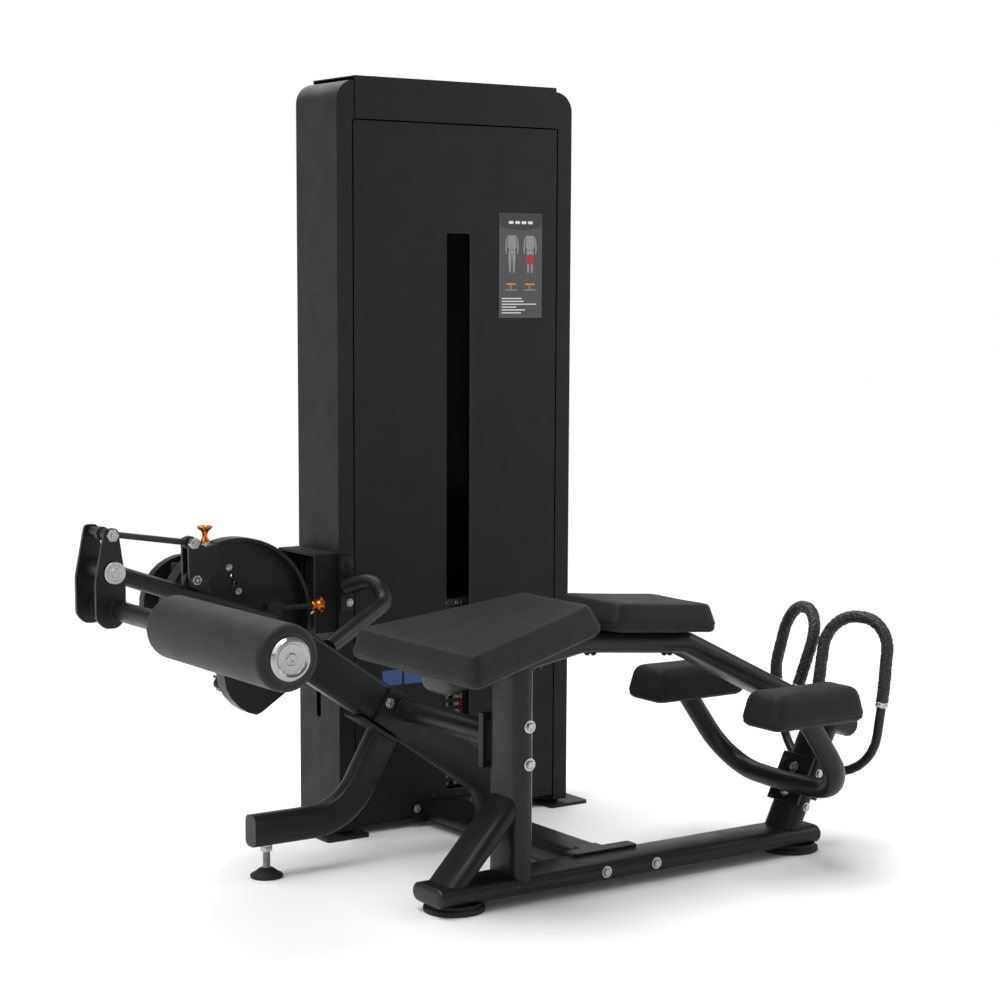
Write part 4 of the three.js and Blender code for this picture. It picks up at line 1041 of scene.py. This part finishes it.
def numeral(bm, text, x, z, height, y):
    """A number standing on a vertical plane, added to the mesh."""
    curve = bpy.data.curves.new("numeral", "FONT")
    curve.body = text
    curve.size = height * MM
    curve.extrude = 0.00008
    curve.resolution_u = 3
    curve.align_x, curve.align_y = "CENTER", "CENTER"
    holder = bpy.data.objects.new("numeral", curve)
    holder.matrix_world = Matrix.Translation(at(x, y, z)) @ Matrix.Rotation(math.radians(90), 4, "X")
    link(holder)
    bpy.context.view_layer.update()
    mesh = bpy.data.meshes.new_from_object(holder.evaluated_get(bpy.context.evaluated_depsgraph_get()))
    mesh.transform(holder.matrix_world)
    bm.from_mesh(mesh)
    bpy.data.objects.remove(holder)
    bpy.data.meshes.remove(mesh)
    bpy.data.curves.remove(curve)


def stack_labels():
    """Plain weight numbers beside each pin hole, with a colour bar that steps with the load."""
    x, z0, pitch = STACK["x"], STACK["z0"], STACK["pitch"]
    total = STACK["resting"] + STACK["lifted"] + 1
    bars = {"green": [], "amber": [], "red": []}
    groups = (("frame", 0, STACK["resting"]), ("stack", STACK["resting"], STACK["lifted"] + 1))
    for body, first, count in groups:
        bm = bmesh.new()
        tabs = {ink: [] for ink in bars}
        for i in range(first, first + count):
            z = z0 + (i + 0.5) * pitch - PLATE_DROP
            step = total - i
            numeral(bm, str(5 * step), x - 14, z, 9, STACK["front"] - 0.25)       # kilograms
            numeral(bm, str(11 * step), x + 16, z, 11, STACK["front"] - 0.25)     # pounds
            ink = "green" if step < 9 else "amber" if step < 15 else "red"
            tabs[ink].append(rounded(x + 27, z - 7, x + 33, z + 7, 1.5, 3))
        piece(f"weight_numbers_{body}", bm, INKS["white"], body)
        for ink, shapes in tabs.items():
            if shapes:
                print_on(f"weight_tabs_{ink}_{body}", shapes, ink, STACK["front"] - 0.15, body)


def slot_details():
    """A folded lip round the weight slot, and a plain blue label behind the thigh pad."""
    x0, x1, z0, z1 = (SLOT[k] for k in ("x0", "x1", "z0", "z1"))
    outer = rounded(x0 - 0.2, z0 - 0.2, x1 + 0.2, z1 + 0.2, 8)
    inner = rounded(x0 + 2, z0 + 2, x1 - 2, z1 - 2, 6)
    bm = bmesh.new()
    loops = [[bm.verts.new(at(u, y, v)) for u, v in outline]
             for outline, y in ((outer, -0.9), (inner, -0.9), (inner, 3.1), (outer, 3.1))]
    for first, second in zip(loops, loops[1:] + loops[:1]):
        bridge(bm, first, second)
    in_finish("slot_lip", bm, "nylon", "frame", sharp=30)
    print_on("panel_label", [rounded(120, 358, 176, 396, 4), rounded(182, 358, 244, 396, 4)], "blue", -0.2)


# ---------------- stage, lights and camera
def stage():
    """A wide pale floor and a soft world that is darker overhead."""
    bm = bmesh.new()
    turned(bm, [(0, -40), (26000, -40), (26000, -0.2), (0, -0.2)], Vector((0, 0, 0)), UP, 96)
    floor = mesh_object("floor", bm, PALE_FLOOR)

    world = bpy.data.worlds.new("soft_studio")
    world.use_nodes = True
    tree = world.node_tree
    sky = tree.nodes["Background"]
    sky.inputs["Color"].default_value = (1, 1, 1, 1)
    direction, split, fade = (tree.nodes.new(kind) for kind in
                              ("ShaderNodeTexCoord", "ShaderNodeSeparateXYZ", "ShaderNodeMapRange"))
    for socket, value in zip(("From Min", "From Max", "To Min", "To Max"), SKY_FADE):
        fade.inputs[socket].default_value = value
    tree.links.new(direction.outputs["Generated"], split.inputs["Vector"])
    tree.links.new(split.outputs["Z"], fade.inputs["Value"])
    tree.links.new(fade.outputs["Result"], sky.inputs["Strength"])
    bpy.context.scene.world = world
    bpy.context.scene.view_settings.view_transform = "Standard"


def put_lamp(name, light, place, aim):
    lamp = bpy.data.objects.new(name, light)
    lamp.location = place
    lamp.rotation_euler = (Vector(aim) - Vector(place)).to_track_quat("-Z", "Y").to_euler()
    link(lamp)


def softbox(name, place, aim, size, energy):
    light = bpy.data.lights.new(name, "AREA")
    light.shape = "RECTANGLE"
    light.size, light.size_y = size
    light.energy = energy
    put_lamp(name, light, place, aim)


def lights():
    """Three softboxes under a broad, soft sun."""
    softbox("key_left", (-3.2, -0.6, 2.6), (0, 0, 0.8), (2.4, 2.0), 26)
    softbox("top_back", (0.6, 1.8, 3.0), (0.1, -0.2, 0.5), (3.0, 1.6), 40)
    softbox("right_rim", (3.0, -1.2, 2.0), (0.3, -0.2, 0.6), (1.6, 2.0), 20)
    light = bpy.data.lights.new("overhead", "SUN")
    light.energy = 2.6
    light.angle = math.radians(45)
    put_lamp("overhead", light, (0, 0, 0), (0.25, -0.12, -1))


def camera():
    """A long lens at standing height, turned and rolled as CAMERA says."""
    data = bpy.data.cameras.new("camera")
    data.lens = CAMERA["lens"]
    data.shift_y = CAMERA["shift"]
    data.clip_end = 100
    eye = bpy.data.objects.new("camera", data)
    eye.location = at(*CAMERA["place"])
    turn = Vector(CAMERA["forward"]).to_track_quat("-Z", "Y")
    eye.rotation_mode = "QUATERNION"
    eye.rotation_quaternion = turn @ Quaternion(UP, math.radians(CAMERA["roll"]))
    link(eye)
    bpy.context.scene.camera = eye


# ---------------- the model
dress_cad_nodes()
for pad_name in PADS:
    upholster(pad_name)
backing_board("thigh_pad", (40, 350), 105, "frame")
backing_board("chest_pad", (24, 244), 88, "frame")
roller()
grip("near", -1)
grip("far", 1)
frame_fasteners()
adjuster_bolts()
cam_details()
weld_beads()
pop_pin()
start_pin()
selector_pin()
feet()
end_plugs()
placard_print()
stack_labels()
slot_details()
stage()
lights()
camera()
